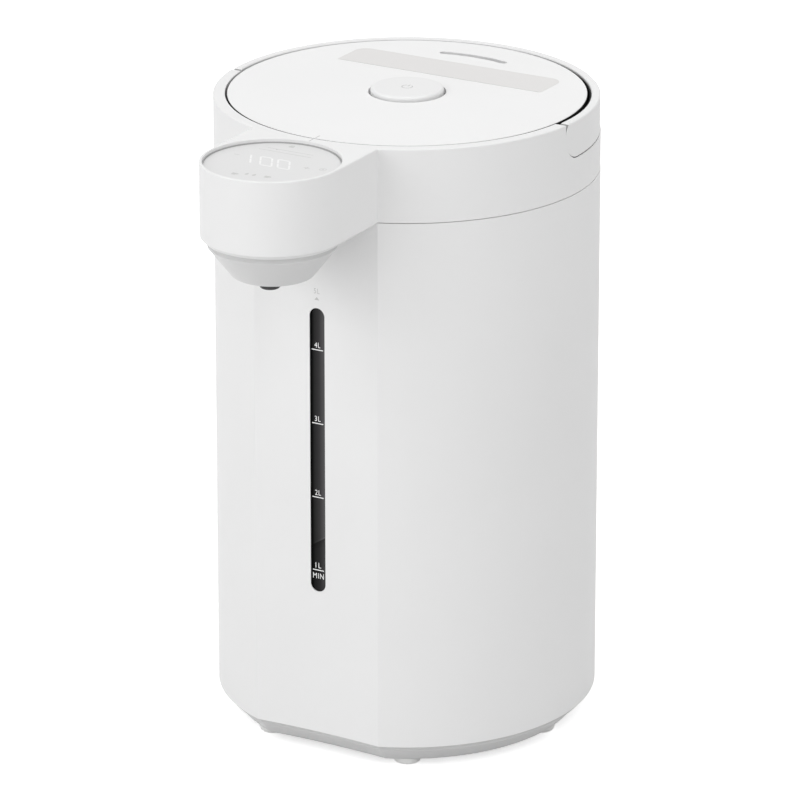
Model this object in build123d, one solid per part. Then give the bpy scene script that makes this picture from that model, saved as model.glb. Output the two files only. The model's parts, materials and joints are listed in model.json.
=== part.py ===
"""Electric thermo pot: a five-litre insulated water boiler with a cantilevered dispensing head.

Millimetres. +Z is up, the pot stands on Z = 0 and its front faces -Y. Every part is drawn about
the vertical axis of the outer wall and is moved at the end, so that the frame's origin lies on
the floor under the middle of the whole outline.
"""

import os
from math import atan, atan2, cos, degrees, hypot, radians, sin, sqrt

from build123d import *

# ---------------------------------------------------------------- outer wall
BODY_R = 103.0          # outer radius of the wall at its upper edge
WALL_DRAFT = 0.45       # the wall is this much wider at its lower edge
WALL_T = 2.4
SHELL_H = 293.7         # height of the wall between the base tray and the seam
FACET_HALF_W = 37.5     # half width of the flat front between its two creases
FACET_DIP = 1.47        # how far that front is hollowed at its middle

# ---------------------------------------------------------------- base
FOOT_H = 4.2            # what each foot stands proud of the tray
FOOT_COUNT = 6
FOOT_PITCH_R = BODY_R - 18.9
FOOT_R = 6.8
FOOT_TOP_R = 8.2
FOOT_EDGE = 1.4         # rounding round the sole
FOOT_PLUG = 1.0         # depth of the seat that each foot is glued in
SKIRT_H = 11.4          # the visible tapered band of the base tray
SKIRT_IN = 9.0          # how far that band tapers in
SKIRT_REVEAL = 0.9      # step between the wall and the band
TRAY_T = 2.5
TRAY_CHAMFER = 0.9      # softened lower edge
TONGUE_H = 8.0          # locating rim that stands inside the wall
TONGUE_T = 1.8
VENT_RINGS = (24.0, 34.0)
VENT_COUNT = 4          # slots in each ring
VENT_W = 4.0
BASE_SCREW_PITCH_R = BODY_R - 18.0
BASE_SCREW_ANGLES = (45.0, 135.0, 225.0, 315.0)
BASE_SCREW_R = 1.5
BASE_SCREW_HEAD_R = 3.2
BASE_SCREW_HEAD_H = 2.2
BASE_POST_R = 4.2
BASE_POST_TOP = 46.0

# ---------------------------------------------------------------- collar and head
COLLAR_H = 40.0
COLLAR_STEP = 0.1       # the collar is this much smaller in radius than the wall
COLLAR_R = BODY_R - COLLAR_STEP
SEAM_GAP = 0.4
RIM_EDGE = 0.4
HEAD_HALF_W = 37.4      # half width of the head, and the radius of its nose
HEAD_REACH = 35.5       # centre of the nose, in front of the collar
NOSE_Y = -(COLLAR_R + HEAD_REACH)
HEAD_WALL = 2.2
HEAD_ROOF = 2.4
RIM_W = 7.5             # what the collar and its gap leave round the lid
LID_R = COLLAR_R - RIM_W
LID_GAP = 1.3           # ring gap between the lid and the collar
COLLAR_IN_R = LID_R + LID_GAP
LENS_R = HEAD_HALF_W - 2.1
LENS_RING_T = 0.6       # ring of elastomer between the disc and its well
LENS_RING_PROUD = 0.5   # what that ring stands above the disc
WELL_R = LENS_R + LENS_RING_T
LENS_T = 3.2
LENS_SINK = 2.0         # the display disc lies this far below the top
LENS_LEDGE = 2.4        # width of the ledge under the display disc
LENS_LEDGE_T = 2.0
PLATE_T = 2.8           # plate that carries the lid and the inner pot

# ---------------------------------------------------------------- underside of the head
COVER_EDGE_R = HEAD_HALF_W - 0.4  # upper edge of the cover's chamfered band
COVER_BAND_IN = 1.8
COVER_BAND_H = 2.1
COVER_T = 2.0
COVER_RIM_H = 5.0
COWL_GAP = 2.2          # neck seen between the cover and the cowl's lip
COWL_R = HEAD_HALF_W - 3.8
COWL_LIP_H = 1.2
COWL_LIP_SLOPE = 0.5    # fall of the lip's upper face
COWL_NECK_R = COWL_R - 0.4
COWL_NECK_H = 4.0
COWL_TIP_R = 21.3
COWL_H = 19.1           # lip to flat bottom
COWL_FLAT_DROP = 2.1    # the flat bottom lies this far below the end of the cone
COWL_FLAT_R = 14.5
COWL_SOFT_R = 3.5       # rounding between the cone and the bottom
COWL_T = 1.9
NOZZLE_Y = NOSE_Y - 3.0
NOZZLE_R = 5.3
NOZZLE_PROUD = 4.5
NOZZLE_BORE_R = 2.6
NOZZLE_FLANGE_R = 8.4
NOZZLE_STEM_H = 22.2

# ---------------------------------------------------------------- carrying handle
HANDLE_R_OUT = COLLAR_R - 0.5
HANDLE_R_IN = COLLAR_IN_R + 1.05
TAB_R = 11.6            # round end of the bow, about its pivot
PIVOT_DROP = 8.17       # pivot below the top
TAB_GAP = 0.5
HANDLE_EDGE = 0.5
PIN_R = 2.0
PIN_CLEAR = 0.05
PIN_SKIN = 1.6          # plastic left outside the pin
LINING_CLEAR = 0.15     # lining of the handle's pocket, outside the lid well
LINING_T = 0.6
LINING_DROP = 1.2       # upper edge of the lining below the top
EAR_HALF_W = 4.5
EAR_T = 2.5
EAR_X_OUT = COLLAR_IN_R
EAR_R_IN = EAR_X_OUT - EAR_T
BUSH_R = 3.2
BUSH_FLANGE_R = 4.4
BUSH_FLANGE_T = 0.7

# ---------------------------------------------------------------- inner pot
POT_R = BODY_R - 15.3    # inner radius: 41.4 mm of height to the litre
POT_T = 0.7
GAUGE_Y = 18.1 - BODY_R  # axis of the level tube, in front of the pot
POT_Y = GAUGE_Y + 5.5 + POT_R + POT_T  # the pot stands behind the wall's axis, to clear the gauge
POT_FLOOR_Z = 67.0
POT_CORNER_R = 12.0
MOUTH_R = LID_R - 13.9
SHOULDER_DROP = 13.3    # shoulder below the seam
SHOULDER_H = 8.0
FLANGE_R = MOUTH_R + 6.5
SEAL_T = 1.5
SEAL_IN = MOUTH_R + 1.7
OUTLET_R = 4.2
OUTLET_DROP = 9.0
JACKET_T = 2.2
JACKET_GAP = 0.5
JACKET_Z0 = 82.0
JACKET_OPEN_HALF_W = 24.0
CLAMP_ANGLES = (15.0, 165.0, 235.0, 305.0)
CLAMP_T = 1.5
CLAMP_SCREW_R = 1.4
CLAMP_PITCH_R = FLANGE_R + 4.0  # clamp screws, about the pot's own axis

# ---------------------------------------------------------------- heater and sensors
HEATER_R_IN = 25.0
HEATER_R_OUT = 54.0
HEATER_T = 4.0
ELEMENT_R = 43.0
ELEMENT_TUBE_R = 4.0
SENSOR_R = 5.5
SENSOR_H = 14.0
CUTOUT_R = 8.0
CUTOUT_H = 9.0
CUTOUT_X = 29.0

# ---------------------------------------------------------------- pump
PUMP_Y = GAUGE_Y + 32.9
PUMP_R = 18.5
PUMP_WALL = 2.2
PUMP_Z = 36.0
PUMP_H = 13.0
PORT_R = 3.8
PORT_BORE_R = 2.6
PORT_Y = GAUGE_Y + 10.9  # end of the outlet port
PORT_GRIP = 4.5         # length of a port inside its hose
IMPELLER_R = 14.5
IMPELLER_BLADES = 6
IMPELLER_BLADE_H = 5.5
SHAFT_R = 1.5
SHAFT_CLEAR = 0.05
MOTOR_R = 13.5
MOTOR_Z = 10.0
PUMP_POST_R = 3.4
PUMP_POST_PITCH = 24.0

# ---------------------------------------------------------------- water gauge
TUBE_R = 3.8
TUBE_BORE_R = 2.8
TUBE_Z0 = 62.0
TUBE_DROP = 11.3        # upper end of the tube below the seam
TUBE_GRIP = 8.0         # length of the tube inside each elbow
SLOT_HALF_W = 4.57
SLOT_Z0 = 81.05         # lower end of the slot above the wall's lower edge
SLOT_Z1 = SHELL_H - 53.2
WINDOW_CLEAR = 0.12
WINDOW_SET = 0.35       # the window lies this far behind the front
WINDOW_FLANGE = 3.4
WINDOW_FLANGE_T = 1.6
HOLDER_T = 1.0
HOSE_WALL = 1.6
HOSE_BEND = 9.0
PUMP_BEND = 8.0
HOSE_RISE = 7.8         # hoses and valve above the collar's lower edge
VALVE_Y = -(COLLAR_R + 7.1)
VALVE_R = 8.5
VALVE_H = 15.0
VALVE_PORT = 8.0

# ---------------------------------------------------------------- electrics
INLET_Z = 45.0
INLET_W = 32.4
INLET_H = 24.4
INLET_CLEAR = 0.3
INLET_FACE_Y = BODY_R - 2.4
INLET_DEPTH = 19.0
INLET_FLANGE = 3.0
INLET_FLANGE_T = 2.0
SOCKET_W = 24.6
SOCKET_H = 16.8
SOCKET_DEPTH = 16.5
SOCKET_CORNER = 4.5
PIN_TIP_SET = 3.0       # contact tips lie this far inside the socket's face
CONTACT_W = 4.0
CONTACT_T = 2.0
CONTACT_PITCH = 7.0
CONTACT_DROP = 4.0
BOARD_Y = INLET_FACE_Y - 54.6
BOARD_W = 84.0
BOARD_D = 46.0
BOARD_Z = 17.0
BOARD_T = 1.6
CARRIER_T = 1.8
DISPLAY_BOARD_R = LENS_R - 5.3
DISPLAY_BOARD_DROP = 4.2

# ---------------------------------------------------------------- lid
LID_PLATE_T = 2.8
LID_EDGE = 0.25
TRIM_T = 0.8            # elastomer ring let into the lid's edge
TRIM_DROP = 0.35        # plastic left above that ring
LID_SKIRT_R = LID_R - 2.0
LID_SKIRT_T = 2.0
LID_SEAT_GAP = 0.3
LID_BASE_T = 2.2
LID_FIT = 0.25
PLUG_R = MOUTH_R - 2.1
PLUG_T = 2.0
PLUG_H = 11.0
GASKET_CLEAR = 0.3
GASKET_H = 6.0
LINER_R = PLUG_R - 2.4
LINER_T = 0.8
BUTTON_R = 19.5
BUTTON_HOLE_R = BUTTON_R + 1.3
BUTTON_PROUD = 2.6
BUTTON_EDGE_R = 1.6
BUTTON_FLANGE_R = BUTTON_HOLE_R + 11.2
BUTTON_FLANGE_T = 1.8
BUTTON_TRAVEL = 2.5
BUTTON_PLAY = 0.2
STEAM_SLOT_R = LID_R - 21.1
STEAM_SLOT_W = 4.0
STEAM_SLOT_HALF_ANGLE = 14.5
VENT_Y = STEAM_SLOT_R - 16.3
VENT_R = 5.0
VENT_WALL = 1.6
VENT_STACK_H = 6.0      # the stack stands this far above the inner cover
DUCT_T = 1.2
VENT_CAP_R = 12.0
VENT_CAP_H = 6.0
BALL_R = 3.6
BALL_LIFT = 2.0
VENT_SEAT = 3.0         # thickness of the ball's seat
LID_BOSS_PITCH_R = MOUTH_R - 13.5
LID_BOSS_ANGLES = (30.0, 150.0, 215.0, 325.0)
LID_BOSS_R = 4.0
LID_SCREW_R = 1.4

# ---------------------------------------------------------------- lid latches
LATCH_ANGLES = {"latch_right": -15.0, "latch_left": 195.0}
LATCH_T = 2.5
LATCH_W = 14.0
LATCH_DROP = 11.5       # underside of the bolts below the top
LATCH_TIP_GAP = 0.35    # what the tip stops short of the collar
CAM_U = BUTTON_R + 3.0   # middle of the slanted cam leg where it leaves the button
LATCH_HEAD_U = CAM_U - 0.5  # inner end of a bolt from the axis
RAIL_U = CAM_U + 19.5    # inner end of the bolt's rails
CAM_T = 4.0
CAM_W = 8.0
CAM_CLEAR = 0.15
RAIL_T = 2.0
RAIL_CLEAR = 0.25
CATCH_DEPTH = 1.9
SPRING_R = 7.0
SPRING_WIRE_R = 0.5
SPRING_TURNS = 4

# ---------------------------------------------------------------- levels that follow
TRAY_Z = FOOT_H
WALL_Z = TRAY_Z + SKIRT_H
SEAM_Z = WALL_Z + SHELL_H
TOP_Z = SEAM_Z + COLLAR_H
COLLAR_Z = SEAM_Z + SEAM_GAP
SHOULDER_Z = SEAM_Z - SHOULDER_DROP
TUBE_Z1 = SEAM_Z - TUBE_DROP
HOSE_Z = COLLAR_Z + HOSE_RISE
PIVOT_Z = TOP_Z - PIVOT_DROP
PLATE_TOP = PIVOT_Z - TAB_R - TAB_GAP
PLATE_BOT = PLATE_TOP - PLATE_T
POCKET_Y = -(TAB_R + TAB_GAP)
LENS_TOP = TOP_Z - LENS_SINK
LENS_SEAT = LENS_TOP - LENS_T
COVER_Z = COLLAR_Z - 0.1
COVER_BOT = COVER_Z - COVER_BAND_H
COVER_LOW_R = COVER_EDGE_R - COVER_BAND_IN
COWL_TOP = COVER_BOT - COWL_GAP
COWL_BOT = COWL_TOP - COWL_H
NOZZLE_BOT = COWL_BOT - NOZZLE_PROUD
FLANGE_TOP = PLATE_BOT - SEAL_T
POT_BOTTOM = POT_FLOOR_Z - POT_T
LID_SEAT = PLATE_TOP + LID_SEAT_GAP
LID_BASE_TOP = LID_SEAT + LID_BASE_T
PUMP_X = -(PUMP_R - PUMP_WALL - PORT_BORE_R)  # brings the outlet port under the gauge
PORT_Z = PUMP_Z + PUMP_H / 2
PLUG_BOT = LID_SEAT - PLUG_H
BUTTON_UNDER = TOP_Z - LID_PLATE_T - BUTTON_PLAY - BUTTON_FLANGE_T
LATCH_Z = TOP_Z - LATCH_DROP
NOSE_FRONT_Y = NOSE_Y - HEAD_HALF_W
WIDEST_R = BODY_R + WALL_DRAFT
FAR = BODY_R + 40.0     # outside everything but the nose
AXIS_Y = -(NOSE_FRONT_Y + WIDEST_R) / 2  # the wall's axis, in the exported frame


# ================================================================ shared shapes
def tube(r_out, r_in, z0, z1, x=0.0, y=0.0):
    """A ring about a vertical axis; a disc if r_in is zero."""
    outline = Circle(r_out)
    if r_in:
        outline -= Circle(r_in)
    return Pos(x, y, z0) * extrude(outline, amount=z1 - z0)


def turned(points, x=0.0, y=0.0):
    """A closed (radius, z) outline turned about a vertical axis."""
    face = Plane.XZ * make_face(Polyline(*points, close=True))
    return Pos(x, y, 0) * revolve(face, Axis.Z)


def bar(x0, x1, y0, y1, z0, z1):
    """A block between two corners."""
    centre = Pos((x0 + x1) / 2, (y0 + y1) / 2, (z0 + z1) / 2)
    return centre * Box(x1 - x0, y1 - y0, z1 - z0)


def polar(radius, angle):
    """The plan position at an angle from +X."""
    return radius * cos(radians(angle)), radius * sin(radians(angle))


def wall_radius(z):
    """Outer radius of the drafted wall at height z."""
    return BODY_R + WALL_DRAFT * (SEAM_Z - z) / SHELL_H


def outline(z, inset=0.0):
    """The wall's plan at height z, inset by a distance: a circle with one shallow hollow front."""
    foot_r = wall_radius(WALL_Z)
    crease_y = -sqrt(foot_r**2 - FACET_HALF_W**2)
    facet_r = (FACET_HALF_W**2 + FACET_DIP**2) / (2 * FACET_DIP)
    centre_y = crease_y + FACET_DIP - facet_r
    shrink = foot_r - wall_radius(z) + inset
    r = foot_r - shrink
    f = facet_r + shrink
    y = (r**2 - f**2 + centre_y**2) / (2 * centre_y)
    x = sqrt(r**2 - y**2)
    back = ThreePointArc((x, y), (0, r), (-x, y))
    front = ThreePointArc((-x, y), (0, centre_y + f), (x, y))
    return Pos(0, 0, z) * make_face(back + front)


def block(z0, z1, inset=0.0):
    """A solid with the drafted wall's plan between two heights."""
    return extrude(outline(z0, inset), amount=z1 - z0, taper=degrees(atan(WALL_DRAFT / SHELL_H)))


def skirt(z0, z1, inset, inset_top):
    """A solid with the wall's plan at both ends, inset by different amounts."""
    return loft([outline(z0, inset), outline(z1, inset_top)], ruled=True)


def stadium(inset, z0, z1, back_y=-60.0):
    """The head's plan, inset all round, from back_y to the nose."""
    r = HEAD_HALF_W - inset
    plan = Pos(0, NOSE_Y) * Circle(r)
    plan += Pos(0, (NOSE_Y + back_y) / 2) * Rectangle(2 * r, back_y - NOSE_Y)
    return Pos(0, 0, z0) * extrude(plan, amount=z1 - z0)


def side_slot(x0, x1, plan):
    """A (y, z) sketch extruded along X."""
    return Pos(x0, 0, 0) * extrude(Plane.YZ * plan, amount=x1 - x0)


def front_slot(half_w, z0, z1, y0, y1):
    """A round-ended upright slot cut along Y."""
    plan = SlotOverall(z1 - z0, 2 * half_w, rotation=90)
    face = Plane.XZ * Pos(0, (z0 + z1) / 2) * plan
    return Pos(0, y1, 0) * extrude(face, amount=y1 - y0)


def elbow(start, corner, end, bore_r, bend):
    """A soft pipe with one square bend; its bore fits the ports at both ends."""
    start, corner, end = Vector(start), Vector(corner), Vector(end)
    way_in = (corner - start).normalized()
    way_out = (end - corner).normalized()
    first_end = corner - way_in * bend
    last_start = corner + way_out * bend
    ring = Circle(bore_r + HOSE_WALL) - Circle(bore_r)
    first = extrude(Plane(origin=start, z_dir=way_in) * ring, amount=(first_end - start).length)
    axis = Axis(first_end + way_out * bend, way_in.cross(way_out))
    turn = revolve(Plane(origin=first_end, z_dir=way_in) * ring, axis, revolution_arc=90)
    last = extrude(Plane(origin=last_start, z_dir=way_out) * ring, amount=(end - last_start).length)
    return first + turn + last


def around(shape, angles):
    """Copies of a shape turned about Z."""
    return [Rot(0, 0, angle) * shape for angle in angles]


def fused(shapes):
    """One solid from overlapping shapes."""
    first, *rest = shapes
    for shape in rest:
        first += shape
    return first


def several(shapes):
    """Separate solids kept together as one part."""
    return Compound([solid for shape in shapes for solid in shape.solids()])


def foot_angles():
    """Even spacing, with a foot under each front corner."""
    return [i * 360.0 / FOOT_COUNT for i in range(FOOT_COUNT)]


# ================================================================ shell and base
def outer_shell():
    """The white wall: drafted, open at both ends, with the gauge slot and the inlet opening."""
    shell = block(WALL_Z, SEAM_Z) - block(WALL_Z - 1, SEAM_Z + 1, WALL_T)
    keep = block(WALL_Z, SEAM_Z, WALL_T / 2)
    post = tube(BASE_POST_R, 0, WALL_Z + 2.5, BASE_POST_TOP, x=BASE_SCREW_PITCH_R)
    web = bar(BASE_SCREW_PITCH_R, BODY_R, -1.0, 1.0, WALL_Z + TONGUE_H + 1, BASE_POST_TOP)
    pilot = tube(BASE_SCREW_R, 0, WALL_Z, BASE_POST_TOP - 6, x=BASE_SCREW_PITCH_R)
    for angle in BASE_SCREW_ANGLES:
        shell += Rot(0, 0, angle) * ((post + web) - pilot) & keep
    surround_w = INLET_W / 2 + INLET_CLEAR + INLET_FLANGE
    surround_h = INLET_H / 2 + INLET_CLEAR + INLET_FLANGE
    surround = bar(-surround_w, surround_w, inlet_seat_y(), BODY_R,
                   INLET_Z - surround_h, INLET_Z + surround_h)
    shell += surround & keep
    hole_w = INLET_W / 2 + INLET_CLEAR
    hole_h = INLET_H / 2 + INLET_CLEAR
    shell -= bar(-hole_w, hole_w, BODY_R - 40, FAR, INLET_Z - hole_h, INLET_Z + hole_h)
    shell -= front_slot(SLOT_HALF_W, WALL_Z + SLOT_Z0, WALL_Z + SLOT_Z1, -FAR, -60)
    return shell


def inlet_seat_y():
    """Inner end of the surround that the power inlet's flange bears on."""
    return INLET_FACE_Y - 5.0


def base_tray():
    """The grey tray: tapered skirt, locating rim, screw posts, foot seats and vents."""
    foot_in = SKIRT_REVEAL + SKIRT_IN
    outer = skirt(TRAY_Z + TRAY_CHAMFER, WALL_Z, foot_in, SKIRT_REVEAL)
    outer += skirt(TRAY_Z, TRAY_Z + TRAY_CHAMFER, foot_in + TRAY_CHAMFER, foot_in)
    hollow = skirt(TRAY_Z + TRAY_T, WALL_Z + 0.01, foot_in + 0.6, SKIRT_REVEAL + WALL_T)
    tray = outer - hollow
    rim_in = WALL_T + LID_FIT
    rim = block(WALL_Z - 3, WALL_Z + TONGUE_H, rim_in)
    rim -= block(WALL_Z - 4, WALL_Z + TONGUE_H + 1, rim_in + TONGUE_T)
    tray += rim
    for angle in BASE_SCREW_ANGLES:
        x, y = polar(BASE_SCREW_PITCH_R, angle)
        tray += tube(BASE_POST_R, 0, TRAY_Z + 1, WALL_Z + 2.3, x, y)
        tray -= tube(BASE_SCREW_R + 0.2, 0, 0, WALL_Z + 4, x, y)
        tray -= tube(BASE_SCREW_HEAD_R + 0.3, 0, 0, TRAY_Z + BASE_SCREW_HEAD_H + 0.4, x, y)
    for angle in foot_angles():
        x, y = polar(FOOT_PITCH_R, angle)
        tray += tube(FOOT_TOP_R + 1.4, 0, TRAY_Z + 0.5, TRAY_Z + TRAY_T + FOOT_PLUG, x, y) & outer
        tray -= tube(FOOT_TOP_R + 0.05, 0, 0, TRAY_Z + FOOT_PLUG, x, y)
    for ring in VENT_RINGS:
        span = 360.0 / VENT_COUNT - 2.5 * degrees(VENT_W / ring)
        arc = SlotArc(CenterArc((0, 0), ring, -span / 2, span), VENT_W)
        slot = extrude(arc, amount=WALL_Z)
        for i in range(VENT_COUNT):
            tray -= Rot(0, 0, 90 + i * 360.0 / VENT_COUNT) * slot
    for x, y in pump_posts():
        tray += tube(PUMP_POST_R, 0, TRAY_Z + 1, PUMP_Z, x, y)
        tray -= tube(1.2, 0, PUMP_Z - 12, PUMP_Z + 1, x, y)
    for x, y in board_posts():
        tray += tube(3.0, 0, TRAY_Z + 1, BOARD_Z - CARRIER_T, x, y)
    tray += tube(MOTOR_R + 2.0, MOTOR_R + 0.3, TRAY_Z + 1, MOTOR_Z + 3, PUMP_X, PUMP_Y)
    return tray


def pump_posts():
    """Three posts that carry the pump's lugs."""
    return [(PUMP_X + PUMP_POST_PITCH * cos(radians(a)), PUMP_Y + PUMP_POST_PITCH * sin(radians(a)))
            for a in (20.0, 120.0, 200.0)]


def board_posts():
    """Four posts under the control board's carrier."""
    dx = BOARD_W / 2 - 6
    dy = BOARD_D / 2 - 5
    return [(sx * dx, BOARD_Y + sy * dy) for sx in (-1, 1) for sy in (-1, 1)]


def feet():
    """Six tapered silicone feet, each plugged into its seat."""
    side = FilletPolyline((0, 0), (FOOT_R, 0), (FOOT_TOP_R, FOOT_H), radius=FOOT_EDGE)
    plug = Polyline((FOOT_TOP_R, FOOT_H), (FOOT_TOP_R, FOOT_H + FOOT_PLUG), (0, FOOT_H + FOOT_PLUG),
                    (0, 0))
    foot = Pos(FOOT_PITCH_R, 0, 0) * revolve(Plane.XZ * make_face(side + plug), Axis.Z)
    return several(around(foot, foot_angles()))


def base_screws():
    """Pan-head screws from below, through the tray into the wall's posts."""
    head_z = TRAY_Z + 0.4
    screw = tube(BASE_SCREW_HEAD_R, 0, head_z, head_z + BASE_SCREW_HEAD_H, x=BASE_SCREW_PITCH_R)
    screw += tube(BASE_SCREW_R - 0.02, 0, head_z, WALL_Z + 20, x=BASE_SCREW_PITCH_R)
    return several(around(screw, BASE_SCREW_ANGLES))


# ================================================================ collar, head and handle
def top_frame():
    """Collar, lid well, handle pocket and the hollow cantilevered head in one moulding."""
    plan = Circle(COLLAR_R) + Pos(0, NOSE_Y) * Circle(HEAD_HALF_W)
    plan += Pos(0, NOSE_Y / 2) * Rectangle(2 * HEAD_HALF_W, -NOSE_Y)
    frame = Pos(0, 0, COLLAR_Z) * extrude(plan, amount=TOP_Z - COLLAR_Z)
    frame = chamfer(frame.faces().sort_by(Axis.Z)[-1].edges(), RIM_EDGE)
    below = COLLAR_Z - 1
    frame -= tube(COLLAR_R - WALL_T, 0, below, PLATE_BOT)
    inner_wall_r = COLLAR_IN_R + 2.0
    head = stadium(HEAD_WALL, below, TOP_Z - HEAD_ROOF)
    frame -= head - tube(inner_wall_r, 0, below - 1, TOP_Z)
    core = tube(COLLAR_R - WALL_T, inner_wall_r, PLATE_BOT - 1, TOP_Z - HEAD_ROOF)
    frame -= core & bar(-FAR, FAR, -FAR, POCKET_Y - 2.4, below, TOP_Z)
    frame += tube(HEAD_HALF_W, 0, LENS_SEAT - LENS_LEDGE_T, TOP_Z - 1.5, y=NOSE_Y)
    frame -= tube(WELL_R, 0, LENS_SEAT, TOP_Z + 1, y=NOSE_Y)
    frame -= tube(WELL_R - LENS_LEDGE, 0, below, TOP_Z + 1, y=NOSE_Y)
    frame -= tube(COLLAR_IN_R, 0, PLATE_TOP, TOP_Z + 1)
    frame -= tube(MOUTH_R, 0, PLATE_BOT - 1, PLATE_TOP + 1, y=POT_Y)
    frame -= handle_pocket()
    frame += locating_ring()
    for side in (1, -1):
        frame += handle_ear(side)
    for angle in CLAMP_ANGLES:
        x, y = polar(CLAMP_PITCH_R, angle)
        boss = tube(3.2, 0, flange_bottom(), PLATE_BOT + 0.5, x, y + POT_Y)
        frame += boss
        frame -= tube(CLAMP_SCREW_R, 0, flange_bottom() - 1, PLATE_BOT + 0.5, x, y + POT_Y)
    for angle in (30.0, 150.0, 270.0):
        x, y = polar(DISPLAY_BOARD_R - 2.0, angle)
        post = tube(1.8, 0, display_board_top(), LENS_SEAT - 0.5, x, y + NOSE_Y)
        bridge = bar(0, 6.5, -1.2, 1.2, LENS_SEAT - LENS_LEDGE_T, LENS_SEAT - 0.5)
        frame += post + Pos(x, y + NOSE_Y, 0) * Rot(0, 0, angle) * bridge
    for angle in LATCH_ANGLES.values():
        frame -= Rot(0, 0, angle) * catch_pocket()
    return frame


def flange_bottom():
    """Underside of the inner pot's flange."""
    return FLANGE_TOP - POT_T


def display_board_top():
    """Upper face of the display board."""
    return LENS_SEAT - DISPLAY_BOARD_DROP


def handle_pocket():
    """What is cut from the collar's rear for the bow, with a round front end about each pivot."""
    side = Pos(0, PIVOT_Z) * Circle(TAB_R + TAB_GAP)
    up = TOP_Z + 5 - PIVOT_Z
    side += Pos(FAR / 2 + POCKET_Y, PIVOT_Z + up / 2) * Rectangle(FAR, up)
    low = PIVOT_Z - PLATE_TOP
    side += Pos(FAR / 2, PIVOT_Z - low / 2) * Rectangle(FAR, low)
    return side_slot(-FAR, FAR, side) & tube(FAR, COLLAR_IN_R - 0.5, PLATE_TOP - 1, TOP_Z + 5)


def locating_ring():
    """Rim under the collar that stands inside the wall, left open behind the head."""
    r = BODY_R - WALL_T - 0.2
    ring = tube(r, r - 1.8, SEAM_Z - 8, COLLAR_Z + 3)
    ring += tube(COLLAR_R - WALL_T + 0.5, r - 1.8, COLLAR_Z + 0.6, COLLAR_Z + 3)
    return ring & bar(-FAR, FAR, GAUGE_Y + 0.9, FAR, SEAM_Z - 9, TOP_Z)


def handle_ear(side):
    """Upright lug beside the lid that carries one handle bush."""
    x0, x1 = sorted((side * EAR_R_IN, side * EAR_X_OUT))
    plan = Pos(0, PIVOT_Z) * Circle(EAR_HALF_W)
    height = PIVOT_Z - PLATE_TOP + 0.5
    plan += Pos(0, PIVOT_Z - height / 2) * Rectangle(2 * EAR_HALF_W, height)
    plan -= Pos(0, PIVOT_Z) * Circle(BUSH_R)
    return side_slot(x0, x1, plan)


def catch_pocket():
    """Recess in the lid well's wall that a bolt snaps into."""
    return bar(COLLAR_IN_R - 1, COLLAR_IN_R + CATCH_DEPTH, -LATCH_W / 2 - 0.5, LATCH_W / 2 + 0.5,
               LATCH_Z - 0.5, LATCH_Z + LATCH_T + 0.5)


def handle():
    """The carrying bow: half a ring with a round end about each pivot."""
    bow = tube(HANDLE_R_OUT, HANDLE_R_IN, PIVOT_Z - TAB_R - 1, TOP_Z + 1)
    side = Pos(0, PIVOT_Z) * Circle(TAB_R)
    height = TOP_Z - (PIVOT_Z - TAB_R)
    side += Pos(FAR / 2, PIVOT_Z - TAB_R + height / 2) * Rectangle(FAR, height)
    side &= Pos(0, TOP_Z - 25) * Rectangle(2 * FAR, 50)
    bow &= side_slot(-FAR, FAR, side)
    top = [e for e in bow.faces().sort_by(Axis.Z)[-1].edges() if e.length > 20]
    bow = chamfer(top, HANDLE_EDGE)
    for side_sign in (1, -1):
        bow -= pin_bore(side_sign, PIN_R)
    return bow


def pin_bore(side, radius):
    """Cylinder along a pivot, from the ear's inner face to the handle's outer skin."""
    far = HANDLE_R_OUT - PIN_SKIN
    x0, x1 = sorted((side * (EAR_R_IN + 0.3), side * far))
    return side_slot(x0, x1, Pos(0, PIVOT_Z) * Circle(radius))


def handle_pins():
    """Steel pivot pins, pressed into the bow from inside."""
    return several([pin_bore(1, PIN_R), pin_bore(-1, PIN_R)])


def handle_bushes():
    """Flanged bushes in the ears, on which the pins turn."""
    bushes = []
    for side in (1, -1):
        x0, x1 = sorted((side * EAR_R_IN, side * EAR_X_OUT))
        body = side_slot(x0, x1, Pos(0, PIVOT_Z) * Circle(BUSH_R))
        f0, f1 = sorted((side * EAR_X_OUT, side * (EAR_X_OUT + BUSH_FLANGE_T)))
        body += side_slot(f0, f1, Pos(0, PIVOT_Z) * Circle(BUSH_FLANGE_R))
        bore = side_slot(-FAR, FAR, Pos(0, PIVOT_Z) * Circle(PIN_R + PIN_CLEAR))
        bushes.append(body - bore)
    return several(bushes)


def pocket_lining():
    """Thin black wall on the plate that closes the handle's pocket off from the lid."""
    r = COLLAR_IN_R + LINING_CLEAR
    top = TOP_Z - LINING_DROP
    side = Pos(FAR / 2, (PLATE_TOP + top) / 2) * Rectangle(FAR, top - PLATE_TOP)
    wall = side_slot(-FAR, FAR, side) & tube(r + LINING_T, r, PLATE_TOP, top)
    return wall - side_slot(-FAR, FAR, Pos(0, PIVOT_Z) * Circle(TAB_R + TAB_GAP))


# ================================================================ display and dispensing head
def display_lens():
    """Round touch and display disc, let into the head."""
    lens = tube(LENS_R, 0, LENS_SEAT, LENS_TOP, y=NOSE_Y)
    return chamfer(lens.faces().sort_by(Axis.Z)[-1].edges(), 0.25)


def lens_ring():
    """Black elastomer ring that grips the disc in its well."""
    return tube(WELL_R, LENS_R, LENS_SEAT, LENS_TOP + LENS_RING_PROUD, y=NOSE_Y)


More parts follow.
